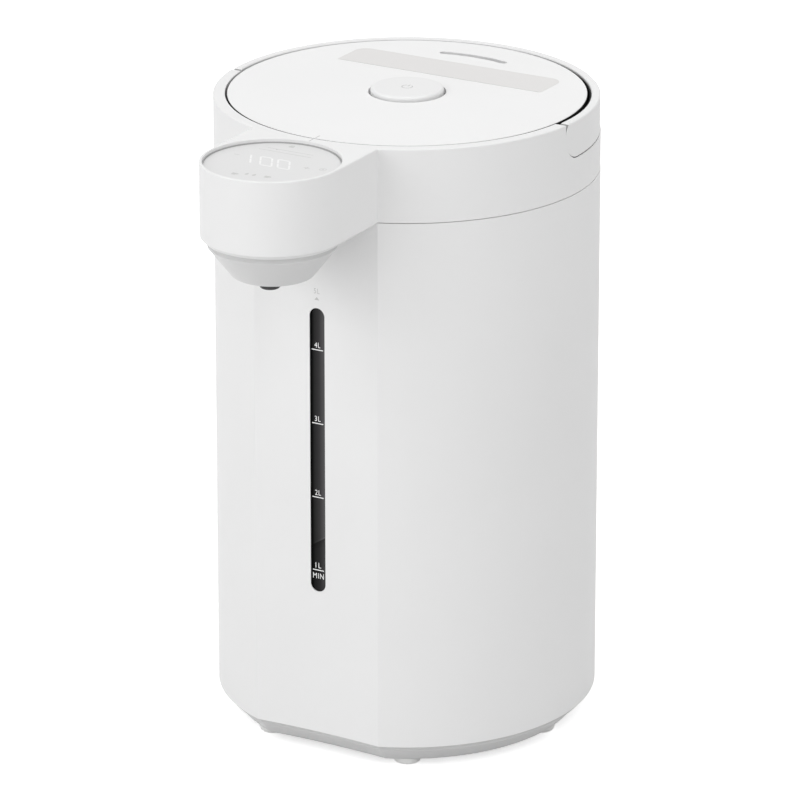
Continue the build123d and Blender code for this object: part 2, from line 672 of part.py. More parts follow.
def display_board():
    """Round circuit board with its digit block and key pads under the disc."""
    top = display_board_top()
    board = tube(DISPLAY_BOARD_R, 0, top - BOARD_T, top, y=NOSE_Y)
    board += bar(-20, 20, NOSE_Y - 8, NOSE_Y + 8, top, LENS_SEAT - 0.1)
    for angle in (210.0, 245.0, 300.0, 335.0):
        x, y = polar(21.0, angle)
        board += tube(4.0, 0, top, LENS_SEAT - 0.1, x, y + NOSE_Y)
    board += bar(-9, 9, NOSE_Y + 14, NOSE_Y + 22, top - BOARD_T - 5, top)
    return board


def head_cover():
    """Cover under the head: a chamfered band outside and a rim that stands inside the head."""
    low_inset = HEAD_HALF_W - COVER_LOW_R
    top_inset = HEAD_HALF_W - COVER_EDGE_R
    cover = stadium(top_inset, COVER_BOT, COVER_Z)
    bottom_edges = cover.faces().sort_by(Axis.Z)[0].edges()
    cover = chamfer(bottom_edges, COVER_BAND_H - 0.3, COVER_BAND_IN)
    cover -= stadium(low_inset + 2.4, COVER_BOT + COVER_T, COVER_Z + 1)
    rim = stadium(HEAD_WALL + 0.2, COVER_Z - 0.5, COVER_Z + COVER_RIM_H)
    rim -= stadium(HEAD_WALL + 1.8, COVER_Z - 1, COVER_Z + COVER_RIM_H + 1)
    bridge = stadium(HEAD_WALL + 0.2, COVER_BOT + 0.5, COVER_Z)
    bridge -= stadium(HEAD_WALL + 2.8, COVER_BOT, COVER_Z + 1)
    cover += rim + bridge
    cover -= tube(COWL_NECK_R + 0.3, 0, COVER_BOT - 1, COVER_Z + 1, y=NOSE_Y)
    keep_out = block(COVER_BOT - 2, COVER_Z + COVER_RIM_H + 2, -0.25)
    return cover - keep_out


def nozzle_cowl():
    """Conical cowl round the spout: thin lip, steep cone and a softly rounded flat bottom."""
    t = COWL_T
    lip_low = COWL_TOP - COWL_LIP_H
    edge = (COWL_FLAT_R, COWL_BOT)
    shoulder = (COWL_TIP_R, COWL_BOT + COWL_FLAT_DROP)
    outside = FilletPolyline((COWL_R, lip_low), shoulder, edge, (0, COWL_BOT), radius=COWL_SOFT_R)
    inside = Polyline((0, COWL_BOT), (0, COWL_BOT + t), (COWL_FLAT_R - 1, COWL_BOT + t),
                      (COWL_TIP_R - 2, COWL_BOT + COWL_FLAT_DROP + 1),
                      (COWL_NECK_R - t, lip_low + 0.5), (COWL_NECK_R - t, COWL_TOP + COWL_NECK_H),
                      (COWL_NECK_R, COWL_TOP + COWL_NECK_H), (COWL_NECK_R, COWL_TOP),
                      (COWL_R, COWL_TOP - COWL_LIP_SLOPE), (COWL_R, lip_low))
    cowl = Pos(0, NOSE_Y, 0) * revolve(Plane.XZ * make_face(outside + inside), Axis.Z)
    return cowl - tube(NOZZLE_R + 0.3, 0, COWL_BOT - 1, COWL_BOT + t + 1, y=NOZZLE_Y)


def nozzle():
    """Black spout tip with a flange that sits on the cowl's floor and a stem for the hose."""
    seat = COWL_BOT + COWL_T
    stem_top = NOZZLE_BOT + NOZZLE_STEM_H
    profile = [(NOZZLE_BORE_R, NOZZLE_BOT), (NOZZLE_R - 0.5, NOZZLE_BOT),
               (NOZZLE_R, NOZZLE_BOT + 0.5), (NOZZLE_R, seat), (NOZZLE_FLANGE_R, seat),
               (NOZZLE_FLANGE_R, seat + 1.6), (TUBE_R, seat + 1.6), (TUBE_R, stem_top),
               (NOZZLE_BORE_R, stem_top)]
    return turned(profile, y=NOZZLE_Y)


def stop_valve():
    """Tip-over valve: an upright capsule with a port at each side."""
    valve = tube(VALVE_R, 0, HOSE_Z - VALVE_H / 2, HOSE_Z + VALVE_H / 2, y=VALVE_Y)
    valve = chamfer(valve.edges(), 1.2)
    port = Plane.XZ * Pos(0, HOSE_Z) * Circle(TUBE_R)
    reach = VALVE_R + VALVE_PORT
    valve += Pos(0, VALVE_Y + reach, 0) * extrude(port, amount=2 * reach)
    bore = Plane.XZ * Pos(0, HOSE_Z) * Circle(TUBE_BORE_R)
    valve -= Pos(0, VALVE_Y + reach + 1, 0) * extrude(bore, amount=2 * reach + 2)
    return valve


def riser_elbow():
    """Silicone elbow from the top of the gauge tube to the valve."""
    start = (0, GAUGE_Y, TUBE_Z1 - TUBE_GRIP)
    end = (0, VALVE_Y + VALVE_R + 1, HOSE_Z)
    return elbow(start, (0, GAUGE_Y, HOSE_Z), end, TUBE_R, HOSE_BEND)


def outlet_elbow():
    """Silicone elbow from the valve down to the spout."""
    stem_top = NOZZLE_BOT + NOZZLE_STEM_H
    start = (0, VALVE_Y - VALVE_R - 1, HOSE_Z)
    end = (0, NOZZLE_Y, stem_top - PORT_GRIP)
    return elbow(start, (0, NOZZLE_Y, HOSE_Z), end, TUBE_R, HOSE_BEND)


# ================================================================ inner pot
def inner_pot():
    """Drawn steel pot with a necked mouth, a rolled flange and a welded outlet."""
    def profile(grow):
        r = POT_R + grow
        base = POT_FLOOR_Z - grow
        neck = MOUTH_R + grow
        corner = POT_CORNER_R + grow
        wall = Polyline((r, base + corner), (r, SHOULDER_Z), (neck, SHOULDER_Z + SHOULDER_H),
                        (neck, FLANGE_TOP), (0, FLANGE_TOP), (0, base), (r - corner, base))
        bend = corner * sqrt(0.5)
        arc = ThreePointArc((r - corner, base), (r - corner + bend, base + corner - bend),
                            (r, base + corner))
        return revolve(Plane.XZ * make_face(wall + arc), Axis.Z)
    pot = profile(POT_T) + tube(FLANGE_R, 0, flange_bottom(), FLANGE_TOP)
    pot -= profile(0)
    out_x = PUMP_X
    out_y = PUMP_Y - POT_Y
    pot += tube(OUTLET_R + POT_T, 0, POT_BOTTOM - OUTLET_DROP, POT_FLOOR_Z - 0.1, out_x, out_y)
    pot -= tube(OUTLET_R, 0, POT_BOTTOM - OUTLET_DROP - 1, POT_FLOOR_Z + 1, out_x, out_y)
    return Pos(0, POT_Y, 0) * pot


def pot_seal():
    """Silicone ring between the pot's flange and the plate."""
    return tube(FLANGE_R - 0.4, SEAL_IN, FLANGE_TOP, PLATE_BOT, y=POT_Y)


def pot_clamps():
    """Steel tabs that hold the pot's flange up against the plate."""
    top = flange_bottom()
    tab = bar(FLANGE_R - 5, CLAMP_PITCH_R + 4, -6, 6, top - CLAMP_T, top)
    tab -= tube(CLAMP_SCREW_R + 0.15, 0, top - 5, top + 5, x=CLAMP_PITCH_R)
    return Pos(0, POT_Y, 0) * several(around(tab, CLAMP_ANGLES))


def clamp_screws():
    """Screws through the tabs into the plate's bosses."""
    top = flange_bottom() - CLAMP_T
    screw = tube(2.6, 0, top - 1.8, top, x=CLAMP_PITCH_R)
    screw += tube(CLAMP_SCREW_R - 0.02, 0, top - 1, PLATE_BOT - 0.4, x=CLAMP_PITCH_R)
    return Pos(0, POT_Y, 0) * several(around(screw, CLAMP_ANGLES))


def insulation_jacket():
    """Felt wrap round the pot, open at the front for the gauge."""
    inner = POT_R + POT_T + JACKET_GAP
    wrap = tube(inner + JACKET_T, inner, JACKET_Z0, SHOULDER_Z, y=POT_Y)
    return wrap - bar(-JACKET_OPEN_HALF_W, JACKET_OPEN_HALF_W, -FAR, 0, 0, TOP_Z)


def heater_plate():
    """Aluminium heating plate with its ring element, brazed under the pot."""
    top = POT_BOTTOM
    plate = tube(HEATER_R_OUT, HEATER_R_IN, top - HEATER_T, top, y=POT_Y)
    tube_low = top - HEATER_T - ELEMENT_TUBE_R
    w = ELEMENT_TUBE_R
    plate += turned([(ELEMENT_R - w, top - HEATER_T), (ELEMENT_R - w / 2, tube_low),
                     (ELEMENT_R + w / 2, tube_low), (ELEMENT_R + w, top - HEATER_T)], y=POT_Y)
    for x in (-7, 7):
        plate += tube(2.2, 0, tube_low - 8, top - HEATER_T, x, POT_Y + ELEMENT_R)
    return plate


def temp_sensor():
    """Spring-loaded probe at the middle of the pot's floor, on a bracket across the plate."""
    top = POT_BOTTOM
    probe = tube(SENSOR_R, 0, top - SENSOR_H, top, y=POT_Y)
    bracket = bar(-HEATER_R_IN - 6, HEATER_R_IN + 6, POT_Y - 5, POT_Y + 5,
                  top - HEATER_T - 1.5, top - HEATER_T)
    return probe + bracket


def thermal_cutouts():
    """Two button thermostats on the heating plate."""
    top = POT_BOTTOM - HEATER_T
    cutouts = []
    for x in (-CUTOUT_X, CUTOUT_X):
        body = tube(CUTOUT_R - 3, 0, top - CUTOUT_H, top, x, POT_Y - 12)
        body += tube(CUTOUT_R - 4, 0, top - CUTOUT_H - 2, top, x, POT_Y - 12)
        body += bar(x - 1.5, x + 1.5, POT_Y - 22, POT_Y - 2, top - CUTOUT_H, top - CUTOUT_H + 1)
        cutouts.append(body)
    return several(cutouts)


# ================================================================ pump
def pump_housing():
    """Centrifugal pump case: chamber, top inlet, tangential outlet and three lugs."""
    case = tube(PUMP_R, 0, PUMP_Z, PUMP_Z + PUMP_H, PUMP_X, PUMP_Y)
    for x, y in pump_posts():
        away = degrees(atan2(y - PUMP_Y, x - PUMP_X))
        reach = hypot(x - PUMP_X, y - PUMP_Y)
        lug = bar(PUMP_R - 3, reach, -3.4, 3.4, PUMP_Z, PUMP_Z + 2.5)
        lug += tube(3.4, 0, PUMP_Z, PUMP_Z + 2.5, x=reach)
        lug -= tube(1.4, 0, PUMP_Z - 1, PUMP_Z + 4, x=reach)
        case += Pos(PUMP_X, PUMP_Y, 0) * Rot(0, 0, away) * lug
    top = PUMP_Z + PUMP_H
    outlet = Plane.XZ * Pos(0, PORT_Z) * Circle(PORT_R)
    case += Pos(0, PUMP_Y, 0) * extrude(outlet, amount=PUMP_Y - PORT_Y)
    case += tube(OUTLET_R + POT_T, 0, top - 1, top + 7, PUMP_X, PUMP_Y)
    case -= tube(PUMP_R - PUMP_WALL, 0, PUMP_Z + 2, top - 2, PUMP_X, PUMP_Y)
    case -= tube(OUTLET_R, 0, top - 3, top + 8, PUMP_X, PUMP_Y)
    bore = Plane.XZ * Pos(0, PORT_Z) * Circle(PORT_BORE_R)
    case -= Pos(0, PUMP_Y, 0) * extrude(bore, amount=PUMP_Y - PORT_Y + 1)
    return case - tube(SHAFT_R + SHAFT_CLEAR, 0, PUMP_Z - 1, PUMP_Z + 3, PUMP_X, PUMP_Y)


def pump_impeller():
    """Impeller with swept blades on its shaft."""
    floor_z = PUMP_Z + 2.8
    rotor = tube(IMPELLER_R, 0, floor_z, floor_z + 1.2, PUMP_X, PUMP_Y)
    rotor += tube(3.2, 0, floor_z, floor_z + IMPELLER_BLADE_H, PUMP_X, PUMP_Y)
    rotor += tube(SHAFT_R, 0, MOTOR_Z + 4, floor_z + 2, PUMP_X, PUMP_Y)
    arc = ThreePointArc((2.5, 0), (8.0, 2.2), (IMPELLER_R - 0.3, 0.0))
    blade = extrude(trace(arc, 1.0), amount=IMPELLER_BLADE_H)
    for i in range(IMPELLER_BLADES):
        rotor += Pos(PUMP_X, PUMP_Y, floor_z) * Rot(0, 0, i * 360 / IMPELLER_BLADES) * blade
    return rotor


def pump_motor():
    """Direct-current motor under the pump, with a blind bore for the impeller's shaft."""
    top = PUMP_Z
    motor = tube(MOTOR_R, 0, MOTOR_Z, top, PUMP_X, PUMP_Y)
    motor = chamfer(motor.edges(), 1.0)
    for x in (-6, 6):
        motor += bar(PUMP_X + x - 1, PUMP_X + x + 1, PUMP_Y - 0.4, PUMP_Y + 0.4,
                     MOTOR_Z - 2.0, MOTOR_Z + 1)
    return motor - tube(SHAFT_R + SHAFT_CLEAR, 0, MOTOR_Z + 3.6, top + 1, PUMP_X, PUMP_Y)


def inlet_hose():
    """Straight silicone sleeve from the pot's outlet down to the pump."""
    low = PUMP_Z + PUMP_H + 0.5
    high = POT_BOTTOM - 2
    inner = OUTLET_R + POT_T
    return tube(inner + HOSE_WALL, inner, low, high, PUMP_X, PUMP_Y)


def gauge_elbow():
    """Silicone elbow from the pump's outlet up to the gauge tube."""
    start = (0, PORT_Y + PORT_GRIP, PORT_Z)
    end = (0, GAUGE_Y, TUBE_Z0 + TUBE_GRIP)
    return elbow(start, (0, GAUGE_Y, PORT_Z), end, PORT_R, PUMP_BEND)


# ================================================================ water gauge
def gauge_tube():
    """Glass level tube, which is also the riser to the spout."""
    return tube(TUBE_R, TUBE_BORE_R, TUBE_Z0, TUBE_Z1, y=GAUGE_Y)


def gauge_window():
    """Smoked window: a pad that fills the slot and a flange behind the wall."""
    z0 = WALL_Z + SLOT_Z0
    z1 = WALL_Z + SLOT_Z1
    fit_w = SLOT_HALF_W - WINDOW_CLEAR
    slab = block(z0 - 10, z1 + 10, WINDOW_SET) - block(z0 - 11, z1 + 11, WALL_T + WINDOW_FLANGE_T)
    pad = slab & front_slot(fit_w, z0 + WINDOW_CLEAR, z1 - WINDOW_CLEAR, -FAR, -60)
    back = block(z0 - 10, z1 + 10, WALL_T) - block(z0 - 11, z1 + 11, WALL_T + WINDOW_FLANGE_T)
    grow = WINDOW_FLANGE
    flange = back & front_slot(SLOT_HALF_W + grow, z0 - grow, z1 + grow, -FAR, -60)
    return pad + flange


def gauge_holder():
    """Black channel behind the window that frames the level tube."""
    half = SLOT_HALF_W + WINDOW_FLANGE + 0.2
    z0 = WALL_Z + SLOT_Z0 - WINDOW_FLANGE - 1
    z1 = WALL_Z + SLOT_Z1 + WINDOW_FLANGE + 1
    back_y = GAUGE_Y + TUBE_R + 0.3
    channel = bar(-half - HOLDER_T, half + HOLDER_T, -FAR, back_y + HOLDER_T, z0, z1)
    channel -= bar(-half, half, -FAR - 1, back_y, z0 - 1, z1 + 1)
    return channel & block(z0 - 1, z1 + 1, WALL_T)


# ================================================================ electrics
def power_inlet():
    """Three-pin appliance inlet, let into the rear wall."""
    y0 = INLET_FACE_Y - INLET_DEPTH
    seat = inlet_seat_y()
    body = bar(-INLET_W / 2, INLET_W / 2, seat - 0.5, INLET_FACE_Y,
               INLET_Z - INLET_H / 2, INLET_Z + INLET_H / 2)
    flange_w = INLET_W / 2 + INLET_FLANGE
    flange_h = INLET_H / 2 + INLET_FLANGE
    body += bar(-flange_w, flange_w, seat - INLET_FLANGE_T, seat,
                INLET_Z - flange_h, INLET_Z + flange_h)
    body += bar(-SOCKET_W / 2 - 2, SOCKET_W / 2 + 2, y0, seat,
                INLET_Z - SOCKET_H / 2 - 2, INLET_Z + SOCKET_H / 2 + 2)
    return body - socket_space() - inlet_contacts()


def socket_space():
    """The socket's hollow: a rectangle with its two upper corners cut off."""
    w = SOCKET_W / 2
    h = SOCKET_H / 2
    c = SOCKET_CORNER
    plan = make_face(Polyline((-w, -h), (w, -h), (w, h - c), (w - c, h), (c - w, h), (-w, h - c),
                              close=True))
    face = Plane.XZ * Pos(0, INLET_Z) * plan
    return Pos(0, INLET_FACE_Y + 1, 0) * extrude(face, amount=SOCKET_DEPTH + 1)


def inlet_contacts():
    """Three flat contacts, which pass through the socket's back wall."""
    y0 = INLET_FACE_Y - INLET_DEPTH - 7
    y1 = INLET_FACE_Y - PIN_TIP_SET
    places = [(-CONTACT_PITCH, -CONTACT_DROP / 2), (0, CONTACT_DROP / 2),
              (CONTACT_PITCH, -CONTACT_DROP / 2)]
    blades = []
    for x, dz in places:
        z = INLET_Z + dz
        blades.append(bar(x - CONTACT_T / 2, x + CONTACT_T / 2, y0, y1,
                          z - CONTACT_W / 2, z + CONTACT_W / 2))
    return several(blades)


def board_carrier():
    """Shallow plastic tray that carries the control board on the base's posts."""
    w = BOARD_W / 2
    d = BOARD_D / 2
    z0 = BOARD_Z - CARRIER_T
    tray = bar(-w, w, BOARD_Y - d, BOARD_Y + d, z0, BOARD_Z + 6)
    tray -= bar(-w + CARRIER_T, w - CARRIER_T, BOARD_Y - d + CARRIER_T, BOARD_Y + d - CARRIER_T,
                BOARD_Z, BOARD_Z + 7)
    for sx in (-1, 1):
        for sy in (-1, 1):
            tray += tube(2.5, 0, BOARD_Z - 0.5, BOARD_Z + 3, sx * (w - 8), BOARD_Y + sy * (d - 8))
    return tray


def control_board():
    """Control board with relay, capacitor, transformer and heat sink."""
    w = BOARD_W / 2 - CARRIER_T - 0.5
    d = BOARD_D / 2 - CARRIER_T - 0.5
    z0 = BOARD_Z + 3
    top = z0 + BOARD_T
    board = bar(-w, w, BOARD_Y - d, BOARD_Y + d, z0, top)
    board += bar(-34, -16, BOARD_Y - 15, BOARD_Y - 1, top, top + 15)
    board += bar(-10, 8, BOARD_Y - 12, BOARD_Y + 6, top, top + 16)
    board += tube(6, 0, top, top + 18, 22, BOARD_Y + 9)
    board += tube(4, 0, top, top + 12, -24, BOARD_Y + 10)
    fins = [bar(18 + 4 * i, 19.6 + 4 * i, BOARD_Y - 16, BOARD_Y - 2, top, top + 14) for i in range(4)]
    board += fused(fins + [bar(18, 31.6, BOARD_Y - 16, BOARD_Y - 2, top, top + 2)])
    return board


# ================================================================ lid
def lid_top():
    """White lid: flat disc with a soft edge, a skirt, the button hole and the steam slot."""
    lid = tube(LID_R, 0, TOP_Z - LID_PLATE_T, TOP_Z)
    lid = chamfer(lid.faces().sort_by(Axis.Z)[-1].edges(), LID_EDGE)
    lid -= tube(LID_R + 1, LID_R - TRIM_T, TOP_Z - LID_PLATE_T - 1, TOP_Z - TRIM_DROP)
    lid -= tube(BUTTON_HOLE_R, 0, TOP_Z - 10, TOP_Z + 1)
    lid += tube(LID_SKIRT_R, LID_SKIRT_R - LID_SKIRT_T, LID_SEAT, TOP_Z - LID_PLATE_T + 0.1)
    half = STEAM_SLOT_HALF_ANGLE
    arc = SlotArc(CenterArc((0, 0), STEAM_SLOT_R, 90 - half, 2 * half), STEAM_SLOT_W)
    lid -= Pos(0, 0, TOP_Z - 10) * extrude(arc, amount=20)
    for angle in LATCH_ANGLES.values():
        lid -= Rot(0, 0, angle) * bolt_window()
    for angle in LID_BOSS_ANGLES:
        x, y = polar(LID_BOSS_PITCH_R, angle)
        lid += tube(LID_BOSS_R, 0, LID_BASE_TOP, TOP_Z - LID_PLATE_T + 0.1, x, y)
        lid -= tube(LID_SCREW_R, 0, LID_BASE_TOP - 1, LID_BASE_TOP + 10, x, y)
    return lid


def lid_trim():
    """Black elastomer ring round the lid's edge."""
    return tube(LID_R, LID_R - TRIM_T, TOP_Z - LID_PLATE_T, TOP_Z - TRIM_DROP)


def bolt_window():
    """Opening in the lid's skirt for one bolt, drawn for a bolt along +X."""
    half = LATCH_W / 2 + 0.3
    return bar(LID_SKIRT_R - 6, LID_SKIRT_R + 3, -half, half, LATCH_Z - 0.3, LATCH_Z + LATCH_T + 0.3)


def lid_base():
    """Inner cover: floor, hollow plug that enters the pot's mouth, bolt rails and vent stack."""
    r = LID_SKIRT_R - LID_SKIRT_T - LID_FIT
    base = tube(r, 0, LID_SEAT, LID_BASE_TOP)
    base += tube(PLUG_R, 0, PLUG_BOT, LID_SEAT + 0.5, y=POT_Y)
    base -= tube(PLUG_R - PLUG_T, 0, PLUG_BOT + PLUG_T, LID_BASE_TOP - LID_BASE_T, y=POT_Y)
    base += tube(VENT_R + VENT_WALL, 0, PLUG_BOT, LID_BASE_TOP + VENT_STACK_H, y=VENT_Y)
    base -= tube(VENT_R, 0, PLUG_BOT + VENT_SEAT, LID_BASE_TOP + 7, y=VENT_Y)
    base -= tube(BALL_R - 0.8, 0, PLUG_BOT - 1, PLUG_BOT + 4, y=VENT_Y)
    for angle in LATCH_ANGLES.values():
        base += Rot(0, 0, angle) * bolt_rails()
    base += tube(SPRING_R - SPRING_WIRE_R - 0.4, 0, LID_BASE_TOP - 0.5, LID_BASE_TOP + 4)
    for angle in LID_BOSS_ANGLES:
        x, y = polar(LID_BOSS_PITCH_R, angle)
        base -= tube(LID_SCREW_R + 0.2, 0, PLUG_BOT - 1, LID_BASE_TOP + 1, x, y)
        base -= tube(3.0, 0, PLUG_BOT - 1, PLUG_BOT + 1.4, x, y)
    return base


def bolt_rails():
    """Two cheeks and a sill that guide one bolt, drawn for a bolt along +X."""
    half = LATCH_W / 2 + RAIL_CLEAR
    r = LID_SKIRT_R - LID_SKIRT_T - LID_FIT - 0.5
    low = LID_BASE_TOP - 0.5
    rails = bar(RAIL_U, r - 4, -half - RAIL_T, half + RAIL_T, low, LATCH_Z + LATCH_T)
    rails -= bar(RAIL_U - 1, r, -half, half, LATCH_Z - 0.15, LATCH_Z + LATCH_T + 1)
    return rails


def lid_gasket():
    """Silicone lip seal on the plug, inside the pot's mouth."""
    z = PLUG_BOT + 2.5
    outer = MOUTH_R - GASKET_CLEAR
    profile = [(PLUG_R, z), (PLUG_R + 0.9, z), (outer, z + 1.2), (PLUG_R + 0.9, z + 2.4),
               (outer, z + GASKET_H - 1.0), (PLUG_R + 0.9, z + GASKET_H), (PLUG_R, z + GASKET_H)]
    return turned(profile, y=POT_Y)


def lid_liner():
    """Steel disc under the plug, with the vent's hole."""
    liner = tube(LINER_R, 0, PLUG_BOT - LINER_T, PLUG_BOT, y=POT_Y)
    return liner - tube(BALL_R - 0.8, 0, PLUG_BOT - 2, PLUG_BOT + 1, y=VENT_Y)


def vent_cap():
    """Slotted cap that keeps splashes out of the vent."""
    top = PLUG_BOT - LINER_T
    low = top - VENT_CAP_H
    cap = tube(VENT_CAP_R, 0, low, top, y=VENT_Y)
    cap = chamfer(cap.faces().sort_by(Axis.Z)[0].edges(), 1.2)
    cap -= tube(VENT_CAP_R - 1.5, 0, low + 1.5, top + 1, y=VENT_Y)
    for i in range(6):
        window = bar(VENT_CAP_R - 4, VENT_CAP_R + 2, -2, 2, low + 2.2, top - 1.2)
        cap -= Pos(0, VENT_Y, 0) * Rot(0, 0, 60 * i) * window
    return cap


def vent_ball():
    """Ball that closes the vent if the pot tips over."""
    seat = ball_seat_z()
    return Pos(0, VENT_Y, seat) * Sphere(BALL_R)


def ball_seat_z():
    """Centre of the ball, just above the ring of its seat."""
    hole = BALL_R - 0.8
    return PLUG_BOT + VENT_SEAT + sqrt(BALL_R**2 - hole**2) + 0.05


def steam_duct():
    """Curved duct under the lid's slot, with a neck that fits over the vent stack."""
    half = STEAM_SLOT_HALF_ANGLE + 3.5
    low = LID_BASE_TOP + 0.1
    high = TOP_Z - LID_PLATE_T - 0.1
    neck_r = VENT_R + VENT_WALL + LID_FIT
    duct = duct_sector(STEAM_SLOT_R - 4.5, STEAM_SLOT_R + 4.5, half, low, high)
    duct += tube(neck_r + DUCT_T, 0, low, high, y=VENT_Y)
    duct += bar(-neck_r, neck_r, VENT_Y, STEAM_SLOT_R, low, high)
    r_in = STEAM_SLOT_R - 4.5 + DUCT_T
    r_out = STEAM_SLOT_R + 4.5 - DUCT_T
    duct -= duct_sector(r_in, r_out, half - 1.0, low + DUCT_T, high + 1)
    duct -= tube(neck_r, 0, low - 1, high + 1, y=VENT_Y)
    passage = neck_r - DUCT_T
    return duct - bar(-passage, passage, VENT_Y, STEAM_SLOT_R, low + DUCT_T, high + 1)


def duct_sector(r_in, r_out, half, z0, z1):
    """Part of a ring, centred on the rear."""
    ring = tube(r_out, r_in, z0, z1)
    x = r_out * 2 * sin(radians(half))
    y = r_out * 2 * cos(radians(half))
    wedge = make_face(Polyline((0, 0), (x, y), (-x, y), close=True))
    return ring & (Pos(0, 0, z0 - 1) * extrude(wedge, amount=z1 - z0 + 2))


def lid_screws():
    """Screws from the plug's side into the lid's bosses."""
    screws = []
    for angle in LID_BOSS_ANGLES:
        x, y = polar(LID_BOSS_PITCH_R, angle)
        inside_plug = hypot(x, y - POT_Y) < PLUG_R - PLUG_T
        head = PLUG_BOT if inside_plug else LID_SEAT
        screw = tube(2.6, 0, head + 0.1, head + 1.4, x, y)
        screws.append(screw + tube(LID_SCREW_R - 0.02, 0, head + 1, LID_BASE_TOP + 8, x, y))
    return several(screws)


def lid_button():
    """Round push button with a retaining flange and two slanted cam legs."""
    cap_top = TOP_Z + BUTTON_PROUD
    cap = tube(BUTTON_R, 0, BUTTON_UNDER, cap_top)
    cap = fillet(cap.faces().sort_by(Axis.Z)[-1].edges(), BUTTON_EDGE_R)
    cap -= tube(BUTTON_R - 2.0, 0, BUTTON_UNDER - 1, cap_top - 2.4)
    cap += tube(BUTTON_FLANGE_R, BUTTON_R - 3, BUTTON_UNDER, BUTTON_UNDER + BUTTON_FLANGE_T)
    cap += tube(SPRING_R + 3, SPRING_R + 1.6, BUTTON_UNDER + 0.5, cap_top - 2)
    for angle in LATCH_ANGLES.values():
        cap += Rot(0, 0, angle) * cam_leg(0.0)
    return cap


def cam_leg(clear):
    """Leg at 45 degrees in the plane of a bolt along +X; it drives the bolt inwards as it sinks."""
    high = BUTTON_UNDER + 0.5
    low = LATCH_Z - 1.6
    grow = clear * sqrt(2)
    u = CAM_U
    drop = high - low
    half = CAM_T / 2
    profile = make_face(Polyline((u - half - grow, high), (u + half + grow, high),
                                 (u + half + grow + drop, low), (u - half - grow + drop, low),
                                 close=True))
    w = CAM_W / 2 + clear
    return Pos(0, w, 0) * extrude(Plane.XZ * profile, amount=2 * w)


def latch(angle):
    """One sliding bolt with the slanted slot that its cam leg runs in."""
    tip = COLLAR_IN_R - LATCH_TIP_GAP
    flat = bar(LATCH_HEAD_U, tip, -LATCH_W / 2, LATCH_W / 2, LATCH_Z, LATCH_Z + LATCH_T)
    nose = [e for e in flat.edges().filter_by(Axis.Z) if e.center().X > tip - 1]
    flat = chamfer(nose, 2.0)
    lead = [e for e in flat.faces().sort_by(Axis.X)[-1].edges().filter_by(Axis.Y)
            if e.center().Z < LATCH_Z + 0.1]
    flat = chamfer(lead, 1.4)
    return Rot(0, 0, angle) * (flat - cam_leg(CAM_CLEAR))


def button_spring():
    """Return spring between the inner cover and the button."""
    low = LID_BASE_TOP + SPRING_WIRE_R + 0.1
    high = TOP_Z + BUTTON_PROUD - 2.4 - SPRING_WIRE_R - 0.1
    path = Helix(pitch=(high - low) / SPRING_TURNS, height=high - low, radius=SPRING_R)
    wire = Plane(origin=path @ 0, z_dir=path % 0) * RegularPolygon(SPRING_WIRE_R, 6)
    return Pos(0, 0, low) * sweep(wire, path=path, is_frenet=True)


# ================================================================ export
PARTS = {
    "outer_shell": outer_shell,
    "base_tray": base_tray,
    "feet": feet,
    "base_screws": base_screws,
    "top_frame": top_frame,
    "handle": handle,
    "handle_pins": handle_pins,
    "handle_bushes": handle_bushes,
    "pocket_lining": pocket_lining,
    "display_lens": display_lens,
    "lens_ring": lens_ring,
    "display_board": display_board,
    "head_cover": head_cover,
    "nozzle_cowl": nozzle_cowl,
    "nozzle": nozzle,
    "stop_valve": stop_valve,
    "riser_elbow": riser_elbow,
    "outlet_elbow": outlet_elbow,
    "inner_pot": inner_pot,
    "pot_seal": pot_seal,
    "pot_clamps": pot_clamps,
    "clamp_screws": clamp_screws,
    "insulation_jacket": insulation_jacket,
    "heater_plate": heater_plate,
    "temp_sensor": temp_sensor,
    "thermal_cutouts": thermal_cutouts,
    "pump_housing": pump_housing,
    "pump_impeller": pump_impeller,
    "pump_motor": pump_motor,
    "inlet_hose": inlet_hose,
    "gauge_elbow": gauge_elbow,
    "gauge_tube": gauge_tube,
    "gauge_window": gauge_window,
    "gauge_holder": gauge_holder,
    "power_inlet": power_inlet,
    "inlet_contacts": inlet_contacts,
    "board_carrier": board_carrier,
    "control_board": control_board,
    "lid_top": lid_top,
    "lid_trim": lid_trim,
    "lid_base": lid_base,
    "lid_gasket": lid_gasket,
    "lid_liner": lid_liner,
    "vent_cap": vent_cap,
    "vent_ball": vent_ball,
    "steam_duct": steam_duct,
    "lid_screws": lid_screws,
    "lid_button": lid_button,
    "button_spring": button_spring,
}


def main():
    """Build every part, move it into the exported frame and write it."""
    os.makedirs("parts", exist_ok=True)
    shift = Pos(0, AXIS_Y, 0)
    for name, make in PARTS.items():
        export_step(shift * make(), f"parts/{name}.step")
    for name, angle in LATCH_ANGLES.items():
        export_step(shift * latch(angle), f"parts/{name}.step")
    print(f"wall axis at Y = {AXIS_Y:.3f}, top at Z = {TOP_Z:.2f}, pivot at Z = {PIVOT_Z:.2f}")


main()
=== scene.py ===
import json
from math import cos, pi, radians, sin

import bmesh
import bpy
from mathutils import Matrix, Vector
from mathutils.bvhtree import BVHTree


